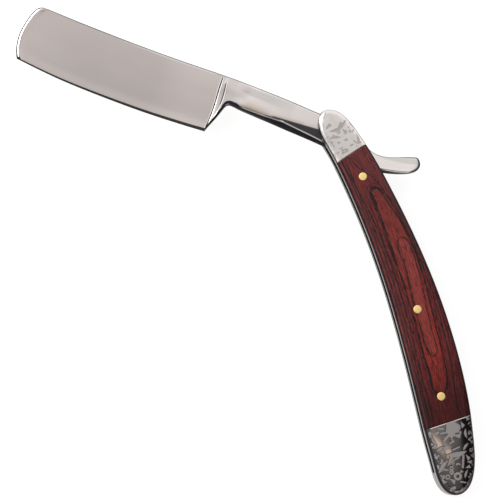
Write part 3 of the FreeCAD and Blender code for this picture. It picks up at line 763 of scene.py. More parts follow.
def cover(region, pitch, along_step, n_round, holes=()):
    """Plan and heights of one cover piece, lying on z = 0 with its face at SCALE_T."""
    phis = np.linspace(0, 90, n_round + 1)
    strips = None
    for ph in phis:
        d = ROUND * (1 - math.cos(math.radians(ph)))
        chains = clipped(region, d)
        if strips is None:
            strips = [[] for _ in chains]
            fr = [dist_points(c, along_step, 0.09) for c in chains]
        for k, c in enumerate(chains):
            strips[k].append(along(c, fr[k]))
    V, H, F = [], [], []
    base = 0
    idx = []
    for st in strips:
        rows = len(st); cols = len(st[0])
        ids = np.arange(base, base + rows * cols).reshape(rows, cols)
        V += [p for row in st for p in row]
        H += [SCALE_T - ROUND + ROUND * math.sin(math.radians(ph)) for ph in phis for _ in range(cols)]
        for i in range(rows - 1):
            for j in range(cols - 1):
                F.append((ids[i, j], ids[i, j + 1], ids[i + 1, j + 1], ids[i + 1, j]))
        idx.append(ids)
        base += rows * cols
    V = list(V)
    inner_loop, outer_loop, seam_ids = [], [], []
    for k, ids in enumerate(idx):
        nxt = idx[(k + 1) % len(idx)]
        inner_loop += list(ids[-1])
        outer_loop += list(ids[0])
        # seam: from the end of this chain's last ring to the start of the next chain's last ring
        a, b = np.array(V[ids[-1][-1]]), np.array(V[nxt[-1][0]])
        n = max(2, int(round(np.hypot(*(b - a)) / max(pitch, 0.25))))
        mid = [a + (b - a) * t for t in np.linspace(0, 1, n + 1)[1:-1]]
        mids = list(range(len(V), len(V) + len(mid)))
        V += mid
        H += [SCALE_T] * len(mid)
        inner_loop += mids
        outer_loop += list(ids[1:, -1]) + mids + list(nxt[::-1, 0][:-1])
        seam_ids += list(ids[:, -1]) + mids + list(nxt[:, 0])
    V2 = np.array(V)
    poly = V2[inner_loop]
    x0, y0 = poly.min(0); x1, y1 = poly.max(0)
    rows = []
    for j, yy in enumerate(np.arange(y0, y1, pitch * 0.866)):
        gx = np.arange(x0, x1, pitch) + (pitch / 2 if j % 2 else 0)
        rows.append(np.c_[gx, np.full(len(gx), yy)])
    g = np.vstack(rows)
    g = g[REGION[region](g) > 0.09 + pitch * 0.5]
    g = g[point_in(g, poly)]
    g = g[rim_distance(g) > ROUND + pitch * 0.45]
    # a row of points just inside each joint line, for its small bevel
    rowp = []
    lines = {"pivot": ["pivot"], "butt": ["butt"], "scale": ["pivot", "butt"]}[region]
    for ln in lines:
        seam = [V2[i] for i in seam_ids if abs(seam_distance(V2[[i]], ln)[0]) < 1e-3 and H[i] > SCALE_T - 1e-6]
        seam = np.array(sorted(seam, key=lambda q: q[1]))
        if ln == "pivot":
            (ax, ay), (bx, by) = PIVOT_LINE
            l = math.hypot(bx - ax, by - ay)
            nrm = np.array([(by - ay) / l, -(bx - ax) / l])
        else:
            nrm = np.array([-1.0, 0.0])
        if region != "scale":
            nrm = -nrm
        q = seam[1:-1] + nrm * 0.09
        rowp.append(q)
    pts2 = [V2[inner_loop], np.vstack(rowp)]
    for hx, hy in holes:
        g = g[np.hypot(g[:, 0] - hx, g[:, 1] - hy) > RIVET_R + 0.12 + pitch * 0.4]
    a = np.linspace(0, 2 * math.pi, 65)[:-1]
    hole_start = []
    pts2.append(g)
    for hx, hy in holes:
        hole_start.append(sum(len(q) for q in pts2))
        pts2.append(np.c_[hx + 1.53 * np.cos(a), hy + 1.53 * np.sin(a)])
        pts2.append(np.c_[hx + 1.60 * np.cos(a), hy + 1.60 * np.sin(a)])
    P = np.vstack(pts2)
    L = len(inner_loop)
    edges = [(i, (i + 1) % L) for i in range(L)]
    for s in hole_start:
        edges += [(s + k, s + (k + 1) % 64) for k in range(64)]
    res = delaunay_2d_cdt([Vector(q) for q in P], edges, [], 0, 1e-7)
    R2 = np.array([tuple(v) for v in res[0]])
    T = np.array([t for t in res[2] if len(t) == 3])
    cen = R2[T].mean(1)
    keep = point_in(cen, poly)
    for hx, hy in holes:
        keep &= np.hypot(cen[:, 0] - hx, cen[:, 1] - hy) > 1.525
    T = T[enclosed(res, T, keep)]
    # renumber: the loop's points keep their own numbers
    new = np.full(len(R2), -1)
    for k, olds in enumerate(res[3]):
        for o in olds:
            if o < L:
                new[k] = inner_loop[o]
    vlist = list(V2)
    hole_loops = [[None] * 64 for _ in holes]
    for k in range(len(R2)):
        if new[k] < 0:
            new[k] = len(vlist)
            vlist.append(R2[k])
            h = SCALE_T
            H.append(h)
    for k, olds in enumerate(res[3]):
        for o in olds:
            for q, s in enumerate(hole_start):
                if s <= o < s + 64:
                    hole_loops[q][o - s] = int(new[k])
    V2 = np.array(vlist)
    H = np.array(H, float)
    for t in T:
        p, q, r = V2[new[t]]
        if (q[0] - p[0]) * (r[1] - p[1]) - (q[1] - p[1]) * (r[0] - p[0]) < 0:
            t = t[::-1]
        F.append(tuple(new[t]))
    return dict(V=V2, H=H, F=F, outer=outer_loop, holes=hole_loops, seam=np.array(sorted(set(seam_ids))))


def enclosed(res, T, likely):
    """Which triangles the outline encloses.  Triangles are grouped without crossing an outline edge; a group that
    reaches the hull is outside, and any other group goes the way most of its area does."""
    walls = {frozenset(e) for e, o in zip(res[1], res[4]) if o}
    touch = {}
    for k, t in enumerate(T):
        for j in range(3):
            touch.setdefault(frozenset((int(t[j]), int(t[(j + 1) % 3]))), []).append(k)
    R = np.array([tuple(v) for v in res[0]])
    u, w = R[T[:, 1]] - R[T[:, 0]], R[T[:, 2]] - R[T[:, 0]]
    size = np.abs(u[:, 0] * w[:, 1] - u[:, 1] * w[:, 0])
    group = np.full(len(T), -1)
    keep = np.zeros(len(T), bool)
    for start in range(len(T)):
        if group[start] >= 0:
            continue
        group[start] = start
        stack, found, hull = [start], [], False
        while stack:
            k = stack.pop()
            found.append(k)
            for j in range(3):
                e = frozenset((int(T[k][j]), int(T[k][(j + 1) % 3])))
                if e in walls:
                    continue
                if len(touch[e]) == 1:
                    hull = True
                for o in touch[e]:
                    if group[o] < 0:
                        group[o] = start
                        stack.append(o)
        found = np.array(found)
        keep[found] = (not hull) and size[found][likely[found]].sum() > 0.5 * size[found].sum()
    return keep


def solid(plan, region, side, etch=None, depth=0.010):
    """A closed cover piece: face, rounded rim, cut ends and flat inner side."""
    V, H = plan["V"].copy(), plan["H"].copy()
    d = np.minimum(rim_distance(V), ROUND)
    q = across(V[:, 0], V[:, 1]) / 8.9
    H = H - 0.16 * np.clip(q, -1.2, 1.2) ** 2 * smooth(0.0, 1.0, d / ROUND)
    H[plan["seam"]] -= 0.05
    P = np.c_[V, H]
    attrs = {}
    if etch is not None:
        m = etch_mask(V, etch, 3.0)
        # outward direction in the plan, so that marks on the rounded rim are sunk along its normal
        i = np.array([((OUT - v) ** 2).sum(1).argmin() for v in V])
        sn = np.clip((H - (SCALE_T - ROUND)) / ROUND, 0, 1)
        cs = np.sqrt(1 - sn ** 2)
        away = np.ones(len(V)); away[plan["seam"]] = 0
        near_wall = smooth(0.0, 0.35, d)
        P[:, 2] -= depth * m * sn * away
        P[:, :2] += OUT_N[i] * (depth * m * cs * away * near_wall)[:, None]
        attrs["etch"] = m
    for hl in plan["holes"]:
        P[hl, 2] -= 0.07
    n = len(P)
    F = list(plan["F"])
    # walls down to the inner side, then the inner side itself
    loops = [plan["outer"]] + [hl[::-1] for hl in plan["holes"]]
    extra, lower = [], []
    for lp in loops:
        ids = []
        for v in lp:
            ids.append(n + len(extra))
            extra.append((P[v, 0], P[v, 1], 0.0))
        k = len(lp)
        for a in range(k):
            b = (a + 1) % k
            F.append((lp[b], lp[a], ids[a], ids[b]))
        lower.append(ids)
    P = np.vstack([P, np.array(extra)])
    pts = [P[i, :2] for ids in lower for i in ids]
    num = [i for ids in lower for i in ids]
    edges, s = [], 0
    for ids in lower:
        edges += [(s + k, s + (k + 1) % len(ids)) for k in range(len(ids))]
        s += len(ids)
    res = delaunay_2d_cdt([Vector(p) for p in pts], edges, [], 0, 1e-7)
    R2 = np.array([tuple(v) for v in res[0]])
    back = {k: num[o] for k, olds in enumerate(res[3]) for o in olds}
    poly = P[lower[0], :2]
    T = np.array([t for t in res[2] if len(t) == 3])
    cen = R2[T].mean(1)
    likely = point_in(cen, poly)
    for ids in lower[1:]:
        likely &= ~point_in(cen, P[ids, :2])
    for t in T[enclosed(res, T, likely)]:
        ids = [back[k] for k in t]
        a, b, e = P[ids[0]], P[ids[1]], P[ids[2]]
        if (b[0] - a[0]) * (e[1] - a[1]) - (b[1] - a[1]) * (e[0] - a[0]) > 0:
            ids = ids[::-1]
        F.append(tuple(ids))
    if etch is not None:
        attrs["etch"] = np.r_[attrs["etch"], np.zeros(len(P) - n)]
        dd = rim_distance(P[:, :2])
        if region == "butt":        # painted shade on the rim, widest on the concave side and round the end
            left = smooth(-3.0, -5.5, across(P[:, 0], P[:, 1]))
            low = smooth(132.5, 136.5, P[:, 0])
            shade_mask = np.maximum(0.93 * (1 - smooth(0.55, 0.90, dd)), 0.78 * (1 - smooth(1.4, 2.6, dd)) * np.maximum(left, 0.8 * low))
            attrs["keep"] = np.where(dd > 0.9, 0.8, 0.0)
        else:
            # painted shade along the rim of the pivot bolster
            right = smooth(-2.0, 2.0, across(P[:, 0], P[:, 1]))
            shade_mask = (0.90 - 0.16 * right) * (1 - smooth(0.20 + 0.16 * right, 0.34 + 0.20 * right, dd))
            attrs["keep"] = np.zeros(len(P))
        attrs["under"] = shade_mask
    if region == "scale":
        V3 = P[:, :2]
        attrs["grain"] = np.c_[P[:, 0], across(P[:, 0], P[:, 1]), SCALE_T - P[:, 2] + (0 if side == "front" else 40)]
        wd = widen(V3)
        attrs["ring_out"] = signed_distance(V3, RING_OUT, True)
        attrs["ring_mid"] = signed_distance(V3, RING_MID, True) / wd
        attrs["ring_in"] = signed_distance(V3, RING_IN, True) / wd
        attrs["line_low"] = signed_distance(V3, LINE_LOW, False)
        attrs["line_high"] = signed_distance(V3, LINE_HIGH, False)
        attrs["rim"] = rim_distance(V3)
    if side == "front":
        P[:, 2] += Z_FRONT
    else:
        P[:, 2] = SCALE_T - P[:, 2]
        F = [f[::-1] for f in F]
    return P, F, attrs


plans = {"scale": cover("scale", 0.55, 0.6, 10, [(x, y) for _, x, y in RIVETS]),
         "pivot": cover("pivot", 0.15, 0.20, 18),
         "butt": cover("butt", 0.15, 0.20, 18)}
ETCH_PIVOT = [(e[0], e[1], e[2], e[3] * 0.90) + tuple(e[4:]) for e in ETCH_PIVOT]
for side in ("front", "back"):
    P, F, at = solid(plans["scale"], "scale", side)
    make_object(side + "_scale_shown", P, F, "handle", M_WOOD, [side + "_scale"], at)
    P, F, at = solid(plans["pivot"], "pivot", side, ETCH_PIVOT)
    make_object(side + "_pivot_bolster_shown", P, F, "handle", M_ETCH, [side + "_pivot_bolster"], at, 50)
    P, F, at = solid(plans["butt"], "butt", side, ETCH_BUTT)
    make_object(side + "_butt_bolster_shown", P, F, "handle", M_ETCH, [side + "_butt_bolster"], at, 50)

# ------------------------------------------------------------------ brass scale pins, with gently domed heads
for side in ("front", "back"):
    for label, x, y in RIVETS:
        prof = [(0.0, 8.6), (1.2, 8.6), (2.02, 8.6), (2.1, 8.68), (2.1, 9.28), (1.49, 9.3), (1.49, 12.68), (1.475, 12.725),
                (1.43, 12.752), (1.25, 12.772), (0.95, 12.786), (0.6, 12.795), (0.25, 12.799), (0.0, 12.8)]
        n = 64
        V, F = [], []
        for k, (r, z) in enumerate(prof):
            if r == 0:
                V.append((x, y, z))
            else:
                V += [(x + r * math.cos(2 * math.pi * j / n), y + r * math.sin(2 * math.pi * j / n), z) for j in range(n)]
        start = [0] + [1 + n * k for k in range(len(prof) - 2)] + [1 + n * (len(prof) - 2)]
        for j in range(n):
            F.append((0, start[1] + (j + 1) % n, start[1] + j))
            for k in range(1, len(prof) - 2):
                a, b = start[k], start[k + 1]
                F.append((a + j, a + (j + 1) % n, b + (j + 1) % n, b + j))
            F.append((start[-2] + j, start[-2] + (j + 1) % n, start[-1]))
        V = np.array(V)
        if side == "back":
            V[:, 2] = Z_TOP - V[:, 2]
            F = [f[::-1] for f in F]
        node = f"{side}_scale_pin_{label}"
        make_object(node + "_shown", V, F, "handle", M_BRASS, [node])

# ------------------------------------------------------------------ the blade, with its shank, tang and tail, as one piece
spine = table(SPINE)
edge = table(EDGE)
toe_f = spline(TOE)
N_TOP, N_FLANK = 8, 40
E_STEPS = np.array([0.03, 0.08, 0.14, 0.22, 0.32, 0.44, 0.57, 0.70, 0.82, 0.92, 1.0])
N_EDGE = len(E_STEPS)


def pchip(x, y, q):
    x, y = np.asarray(x, float), np.asarray(y, float)
    h = np.diff(x); s = np.diff(y) / h
    m = np.zeros(len(x))
    m[0], m[-1] = s[0], s[-1]
    for i in range(1, len(x) - 1):
        if s[i - 1] * s[i] > 0:
            w1, w2 = 2 * h[i] + h[i - 1], h[i] + 2 * h[i - 1]
            m[i] = (w1 + w2) / (w1 / s[i - 1] + w2 / s[i])
    i = np.clip(np.searchsorted(x, q, side="right") - 1, 0, len(x) - 2)
    t = (q - x[i]) / h[i]
    return ((1 + 2 * t) * (1 - t) ** 2 * y[i] + t * (1 - t) ** 2 * h[i] * m[i]
            + t * t * (3 - 2 * t) * y[i + 1] + t * t * (t - 1) * h[i] * m[i + 1])


def profile(D, crown_h, flank, low_w, low_h, low_pow=2.0, crown_d=0.42):
    """Half section by depth: crown, flank, then the edge side; depths run 0 to D, heights end at 0."""
    a = np.linspace(0, 1, N_TOP)
    # crown arc from (0, 0) to (crown_d, crown_h)
    R = (crown_d ** 2 + crown_h ** 2) / (2 * crown_d)
    hs = crown_h * a
    ds = R - np.sqrt(np.clip(R * R - hs ** 2, 0, None))
    fx = np.array([f[0] for f in flank]); fh = np.array([f[1] for f in flank])
    fx = np.r_[crown_d, fx, D - low_w]
    fh = np.r_[crown_h, fh, low_h]
    t = np.linspace(0, 1, N_FLANK + 1)[1:]
    dd = crown_d + (D - low_w - crown_d) * t ** 1.33   # closer together near the spine
    hh = pchip(fx, fh, dd)
    de = D - low_w + low_w * E_STEPS
    he = low_h * np.clip(1 - E_STEPS ** low_pow, 0, None) ** (1 / low_pow)
    return np.r_[ds, dd, de], np.r_[hs, hh, he]


WEDGE = [(1.2, 2.63), (3.0, 2.42), (5.0, 2.175), (6.7, 1.965), (9.0, 1.665), (12.0, 1.275), (14.5, 0.955), (17.0, 0.645), (20.0, 0.33)]
STOCK_D = [0.42, 1.2, 2.4, 4.5, 6.5, 9.0, 12.0, 17.0, 20.0, 22.6, 24.5]
STOCK_A = [2.72, 2.66, 2.56, 2.34, 2.10, 1.86, 1.56, 1.02, 0.66, 0.36, 0.30]     # at the shoulder
STOCK_B = [2.58, 2.52, 2.44, 2.26, 2.08, 1.90, 1.62, 1.06, 0.68, 0.36, 0.30]     # where the shank begins
rows = []       # each: points (s, t), heights and the surface marks


def station(S, E, D, d):
    v = (d / D)[:, None]
    return (1 - v) * np.array(S) + v * np.array(E)


def add(P, h, ground, under=0.0, edge=0.0, painted_glint=0.0, warm_reflection=0.0, squeeze=1.0):
    n = len(h)
    one = np.ones(n)
    rows.append(dict(P=P, h=h * squeeze, ground=one * ground, under=one * under, edge=one * edge, painted_glint=one * painted_glint, warm_reflection=one * warm_reflection))


def crown_shade_line(amount, d, w=0.30):
    """Painted shade: the narrow dark line along the back."""
    return amount * (1 - smooth(0.42 + w - 0.10, 0.42 + w + 0.12, d))


# toe: the station bends onto the toe curve
S1, E1 = np.array(TOE[0]), np.array(TOE[-1])
tq = toe_f(np.linspace(0, 1, 800))
tl = (tq - S1) @ (E1 - S1) / ((E1 - S1) @ (E1 - S1))


def toe_bulge(v):
    v = np.asarray(v)
    x = np.interp(v, tl, tq[:, 0]); y = np.interp(v, tl, tq[:, 1])
    return np.c_[x, y] - ((1 - v)[:, None] * S1 + v[:, None] * E1)


# the two lines that bound the shoulder, and the lower outline from the heel round the notch to the shank
LINE1 = [(49.62, -7.03), (49.58, -4.93), (49.48, -1.44), (49.26, 1.92), (49.02, 5.34), (48.94, 8.6), (49.0, 11.4), (49.16, 13.8), (49.2, 16.2)]
LINE2 = [(47.35, -7.05), (47.25, -3.9), (47.02, -2.05), (46.74, 0.56), (46.66, 2.54), (46.78, 4.62), (47.0, 6.48), (47.38, 8.58), (48.24, 11.8),
         (48.78, 14.0), (48.95, 15.3)]
LOW = spline([(49.2, 16.25), (48.95, 15.30), (47.80, 12.10), (46.72, 9.25), (45.98, 7.00), (45.36, 5.05), (45.02, 4.15), (44.58, 3.55),
              (44.0, 3.18), (43.2, 3.05), (41.7, 3.17), (40.0, 3.40), (38.0, 3.55), (36.0, 3.68), (32.0, 3.95)])(np.linspace(0, 1, 1600))
LOW_L = np.r_[0, np.cumsum(np.hypot(*np.diff(LOW, axis=0).T))]
line1_f, line2_f = spline(LINE1), spline(LINE2)
L1q, L2q = line1_f(np.linspace(0, 1, 900)), line2_f(np.linspace(0, 1, 900))


def on_line(q, v):
    """Point of a shoulder line at the fraction v of its depth."""
    f = (q[:, 1] - q[0, 1]) / (q[-1, 1] - q[0, 1])
    return np.c_[np.interp(v, f, q[:, 0]), q[0, 1] + v * (q[-1, 1] - q[0, 1])]


def low_distance(P):
    d2 = ((P[:, None, :] - LOW[None]) ** 2).sum(2)
    k = d2.argmin(1)
    return np.sqrt(d2[np.arange(len(P)), k]), LOW[k]


def wedge_prof(D, sx):
    k = D / 23.2
    w = np.interp(sx, [49, 128], [1.25, 0.50])
    return profile(D, 2.72, [(a * k, b) for a, b in WEDGE if a * k < D - w - 0.4], w, 0.215, 1.15)


ws = np.r_[np.linspace(0.045, 0.80, 42), np.linspace(0.80, 0.974, 22)[1:]]
# each row: kind, place, squeeze, painted shade round the toe's outline, painted highlight band inside it
seq = [("toe", 0.0, 0.0, 0.95, 0.0), ("toe", 0.0, 0.26, 0.95, 0.0), ("toe", 0.42, 0.17, 0.90, 0.0), ("toe", 0.50, 0.14, 0.0, 0.30), ("toe", 0.88, 0.05, 0.0, 0.30),
       ("toe", 0.94, 1.0, 0.72, 0.0), ("toe", 1.06, 1.0, 0.55, 0.0), ("toe", 1.18, 1.0, 0.0, 0.0)] + [("w", w, 1.0, 0.0, 0.0) for w in ws[::-1]]
for kind, a, sq, un, glint_amt in seq:
    w, inset = (1.0, a) if kind == "toe" else (a, 0.0)
    sS = LINE1[0][0] + (S1[0] - LINE1[0][0]) * w
    sE = LINE1[-1][0] + (E1[0] - LINE1[-1][0]) * w
    S = np.array([sS, spine(sS)]); E = np.array([sE, edge(sE)])
    if w >= 1.0:
        S, E = S1.copy(), E1.copy()
    b = max(0.0, (w - 0.72) / 0.28) ** 2.2 if w < 1 else 1.0
    D = np.hypot(*(E - S))
    d, h = wedge_prof(D, sE)
    v = d / D
    P = station(S, E, D, d) + toe_bulge(v) * b
    if inset:
        t = np.gradient(toe_bulge(v) + ((1 - v)[:, None] * S1 + v[:, None] * E1), axis=0)
        t /= np.maximum(np.hypot(*t.T), 1e-9)[:, None]
        P = P + np.c_[-t[:, 1], t[:, 0]] * inset * smooth(0.0, 0.07, v)[:, None] * smooth(0.0, 0.02, 1 - v)[:, None]
    if sq < 1 and sq > 0:
        h = h - np.minimum(sq, 0.55 * h)
    bw = np.interp(sE, [49, 128], [1.25, 0.50])
    ed = smooth(D - bw, D - bw + 0.08, d)
    cr = crown_shade_line(0.78 if kind == "w" else 0.5, d, 0.26)
    # painted highlight line along the spine towards the shoulder
    spine_glint = 0.9 * smooth(0.62, 0.80, d) * (1 - smooth(1.02, 1.20, d)) * float(smooth(96.0, 74.0, sS))
    if kind == "toe" and sq == 1.0:
        un = un * smooth(0.06, 0.20, v)
    add(P, h, 1.0 if kind == "w" or sq == 1.0 else 0.3, np.maximum(cr, un * (1 - ed)), ed, np.maximum(spine_glint, glint_amt * (1 - ed)), 0.0, 0.0 if sq == 0.0 else 1.0)

# shoulder: two scribed lines with a hatched ramp between them
# (toe side of the first line as an offset; shank side as an offset or as a fraction of the way to the second line)
# each mark: kind, place, height change, painted highlight, painted shade (1 full, 2 fading with depth, else the amount)
marks = [("a", 2.4, 0.0, 0, 0), ("a", 1.4, 0.0, 0, 0), ("a", 0.80, 0.0, 0, 0), ("a", 0.56, 0.0, 0, 0), ("a", 0.50, 0.004, 0.9, 0),
         ("a", 0.25, 0.040, 0.9, 0), ("a", 0.20, 0.03, 0, 1), ("a", 0.08, -0.05, 0, 1), ("b", 0.08, -0.05, 0, 1), ("b", 0.20, -0.02, 0, 1),
         ("b", 0.25, -0.01, 0.9, 0), ("b", 0.42, 0.030, 0.9, 0), ("b", 0.50, 0.032, 0, 0)]
for k in range(1, 9):
    marks.append(("f", k / 9, 0.032 + (0.010 if k % 2 else -0.008), 0.0, 0.10 + 0.36 * (1 - k % 2)))
marks += [("c", 0.60, 0.02, 0, 0), ("c", 0.54, 0.0, 0, 2), ("c", 0.24, -0.03, 0, 2), ("c", 0.18, -0.03, 0.9, 0), ("c", 0.0, 0.0, 0.9, 0), ("c", -0.10, 0.01, 0.9, 0),
          ("c", -0.16, 0.01, 0, 0)]
for kind, a, dh, glint_amt, un in marks:
    d, h1 = wedge_prof(float(np.hypot(*(L1q[-1] - L1q[0]))), 49.0)
    D = d[-1]
    v = d / D
    p1, p2 = on_line(L1q, v), on_line(L2q, v)
    sep = np.maximum(np.hypot(*(p2 - p1).T), 1e-6)
    on1 = smooth(1.2, 1.9, d) * (1 - smooth(D - 1.3, D - 0.9, d))
    on2 = smooth(2.6, 3.4, d) * (1 - smooth(D - 2.2, D - 1.2, d))
    if kind == "a":
        S = np.array([L1q[0, 0] + a, spine(L1q[0, 0] + a)]); E = np.array([L1q[-1, 0] + a, edge(L1q[-1, 0] + a)])
        base = station(S, E, D, d)
        L1s = station(L1q[0], L1q[-1], D, d)
        P = base + (p1 - L1s) * float(1 - smooth(1.0, 3.2, a))
        f = np.zeros(len(d))
    elif kind == "b":
        f = np.minimum(a / sep, {0.08: 0.06, 0.20: 0.14, 0.25: 0.18, 0.42: 0.28, 0.50: 0.34}[a])
    elif kind == "f":
        lo = np.minimum(0.55 / sep, 0.37); hi = 1 - np.minimum(0.60 / sep, 0.40)
        f = lo + (hi - lo) * a
    else:
        f = 1 - np.sign(a) * np.minimum(abs(a) / sep, {0.60: 0.40, 0.54: 0.36, 0.24: 0.16, 0.18: 0.12, 0.0: 0.0, -0.10: 0.07, -0.16: 0.11}[a])
    if kind != "a":
        P = p1 + (p2 - p1) * f[:, None]
    on = on1 if kind in "ab" else smooth(2.2, 4.0, d) * (1 - smooth(D - 1.6, D - 1.0, d)) if kind == "f" else on2
    depth = P[:, 1] - spine(P[:, 0])
    hs = np.where(d < 0.42, h1, pchip(STOCK_D, STOCK_A, np.clip(depth, 0.42, 24.4)))
    rise = np.clip((f - 0.05) / 0.95, 0, 1)
    h = h1 + (hs - h1) * rise + dh * on
    dist, _ = low_distance(P)
    glint_amt = glint_amt * (0.22 + 0.78 * smooth(0.6, 2.3, sep))
    k = smooth(0.0, 0.25, f)
    h = h * (1 - k) + np.maximum(h, 0) * k * np.sqrt(np.clip(1 - (1 - np.clip(dist / 0.5, 0, 1)) ** 2, 0, 1))
    # painted shade: dark band along the lower outline
    band = 0.93 * (1 - smooth(0.74, 0.90, dist)) * smooth(0.0, 0.12, f)
    amount = on * (0.9 if un == 1 else 0.75 * (1 - smooth(11.0, 13.0, d)) if un == 2 else un)
    ed = smooth(D - 1.25, D - 1.17, d) * (1 - smooth(0.0, 0.2, f))
    gr = np.clip(1 - 1.2 * f, 0, 1)
    add(P, h, gr, np.maximum(np.maximum(band, amount), crown_shade_line(0.70, d)), ed, glint_amt * on * (1 - band))

# from the second line the stock fans round the notch
SQ = float(LOW_L[np.abs(LOW[:, 1] - 15.30).argmin()])
EQ = float(LOW_L[((LOW - np.array([43.2, 3.05])) ** 2).sum(1).argmin()])
S_from, S_to = 47.35 - 0.16, 43.5
Lb = on_line(L2q, np.linspace(0, 1, 400))


def stock_h(depth, s):
    b = np.clip((s - 43.0) / 4.0, 0, 1)
    return pchip(STOCK_D, STOCK_A, np.clip(depth, 0.42, 24.4)) * b + pchip(STOCK_D, STOCK_B, np.clip(depth, 0.42, 24.4)) * (1 - b)


def notch_width(at):
    """Width of the painted shade, a dark band along the rolled lower outline."""
    s, t = at[:, 0], at[:, 1]
    return np.where(t > 5.2, 0.90, np.interp(s, [38.0, 39.2, 39.9, 41.0, 43.0, 44.4, 45.3], [0.72, 0.78, 1.10, 1.42, 1.50, 1.45, 1.1]))


fan = np.r_[np.linspace(0, 0.22, 12)[1:], np.linspace(0.22, 1, 34)[1:]]
for u in fan:
    q = SQ + (EQ - SQ) * u
    E = np.array([np.interp(q, LOW_L, LOW[:, 0]), np.interp(q, LOW_L, LOW[:, 1])])
    sS = S_from + (S_to - S_from) * (0.25 * u + 0.75 * u ** 1.6)
    S = np.array([sS, spine(sS)])
    D = np.hypot(*(E - S))
    wl = 0.55 + 0.9 * float(smooth(0.5, 1.0, u))
    d, h = profile(D, 2.60, [(D * 0.3, 2.0), (D * 0.6, 1.5)], wl, 0.8)
    v = d / D
    P = station(S, E, D, d)
    bow = on_line(L2q, v) + np.array([-0.16, 0]) * smooth(1.0, 0.9, v)[:, None] - station(np.array([S_from, L2q[0, 1]]), L2q[-1], 1.0, v)
    P = P + bow * float((1 - smooth(0.0, 0.62, u)))
    depth = P[:, 1] - spine(P[:, 0])
    dist, at = low_distance(P)
    H = stock_h(depth, P[:, 0])
    n = N_TOP - 1
    c0 = float(stock_h(np.array([0.42]), np.array([sS]))[0])
    h = np.where(np.arange(len(d)) <= n, np.linspace(0, 1, N_TOP)[np.minimum(np.arange(len(d)), n)] * c0, H)
    wr = np.interp(at[:, 1], [3.2, 5.0, 9.0], [1.30, 0.8, 0.5])
    h = h * np.sqrt(np.clip(1 - (1 - np.clip(dist / wr, 0, 1)) ** 2, 0, 1))
    h[-1] = 0.0
    w = notch_width(at)
    # painted shade along the lower outline, lifted by a painted highlight near the notch
    band = 0.93 * (1 - smooth(w - 0.14, w + 0.02, dist))
    glint = 0.5 * np.exp(-((dist - 0.30) / 0.12) ** 2) * smooth(4.6, 3.6, at[:, 1]) * smooth(43.2, 44.2, at[:, 0])
    add(P, h, 0.0, np.maximum(band - glint, crown_shade_line(0.72, d, 0.26)))

# shank: straight stations to the tang
SH = [(43.2, -7.06, 3.05), (41.7, -7.05, 3.17), (40.0, -7.03, 3.40), (38.0, -7.0, 3.55), (36.0, -6.96, 3.68), (28.0, -6.77, 4.22), (20.0, -6.40, 4.78),
      (14.0, -5.98, 5.10)]
sh_s = np.array([r[0] for r in SH])[::-1]
sh_a = np.array([r[1] for r in SH])[::-1]
sh_b = np.array([r[2] for r in SH])[::-1]


def shank_cut(s):
    """Upper and lower bound of the long cut in the flank, as fractions of the depth."""
    return (np.interp(s, [6.0, 8.0, 27.5, 43.0], [0.53, 0.55, 0.775, 0.80]), np.interp(s, [4.8, 22.4, 27.5, 30.0, 36.0, 40.0, 43.0], [0.872, 0.785, 0.845, 0.880, 0.920, 0.925, 0.87]))


def shank_section(s, D):
    """Section of the shank at s: rolled underneath, with a long cut low on its flank that widens towards the pivot."""
    fu, fl = shank_cut(s)
    top = np.interp(s, [9, 20, 28, 36, 43], [1.86, 1.91, 2.10, 2.33, 2.54])
    mid = np.interp(s, [9, 20, 28, 36, 43], [1.85, 1.90, 2.00, 2.10, 2.16])
    low = np.interp(s, [6, 14, 22, 27.5, 30, 36, 43], [1.14, 1.25, 1.52, 1.80, 1.84, 1.86, 1.86])
    pts = [(0.10, top), (0.24, 0.62 * top + 0.38 * mid), (0.42, mid), (fu - 0.035, mid - 0.03), (fu + 0.02, mid - 0.06)]
    if s < 29:
        pts += [(0.5 * (fu + fl) + 0.01, 0.5 * (mid - 0.06 + low) + 0.02), (fl - 0.012, low + 0.02)]
    ch = np.interp(s, [9, 20, 28, 36, 43], [1.82, 1.88, 2.07, 2.30, 2.50])
    return profile(D, ch, [(f * D, h) for f, h in pts], (1 - fl) * D, low, 2.0)


def shank_marks(s, D, d):
    # painted shade on the flank's cut and the rolled underside, painted highlight on the ridge, painted warm reflection
    # as a tan band
    fu, fl = shank_cut(s)
    cut = float(smooth(28.6, 26.0, s))
    cut_shade = 0.80 * cut * smooth(fu * D - 0.30, fu * D + 0.12, d) * (1 - smooth(fl * D - 0.16, fl * D - 0.04, d))
    e = (d - fl * D) / ((1 - fl) * D)
    belly_shade = 0.93 * smooth(0.08, 0.20, e)
    wd = np.interp(s, [38.4, 39.2, 39.9, 41.0, 43.0], [0.0, 0.78, 1.10, 1.42, 1.50])
    belly_shade = np.maximum(belly_shade, 0.93 * smooth(D - wd - 0.05, D - wd + 0.10, d) * (wd > 0.5))
    ridge_glint = 0.30 * cut * smooth(fl * D - 0.10, fl * D, d) * (1 - smooth(0.06, 0.16, e))
    tan_reflection = 0.85 * float(smooth(25.0, 31.0, s) * smooth(41.0, 36.0, s)) * smooth(0.52, 0.80, d / D)
    tan_reflection = np.maximum(tan_reflection, 0.7 * float(smooth(30.0, 24.0, s)) * smooth(fu * D - 1.6, fu * D - 0.2, d) * (d < fl * D - 0.1))
    tan_reflection = np.maximum(tan_reflection, ridge_glint)
    return np.maximum(np.maximum(cut_shade, belly_shade), crown_shade_line(0.72, d, 0.26)), ridge_glint, tan_reflection


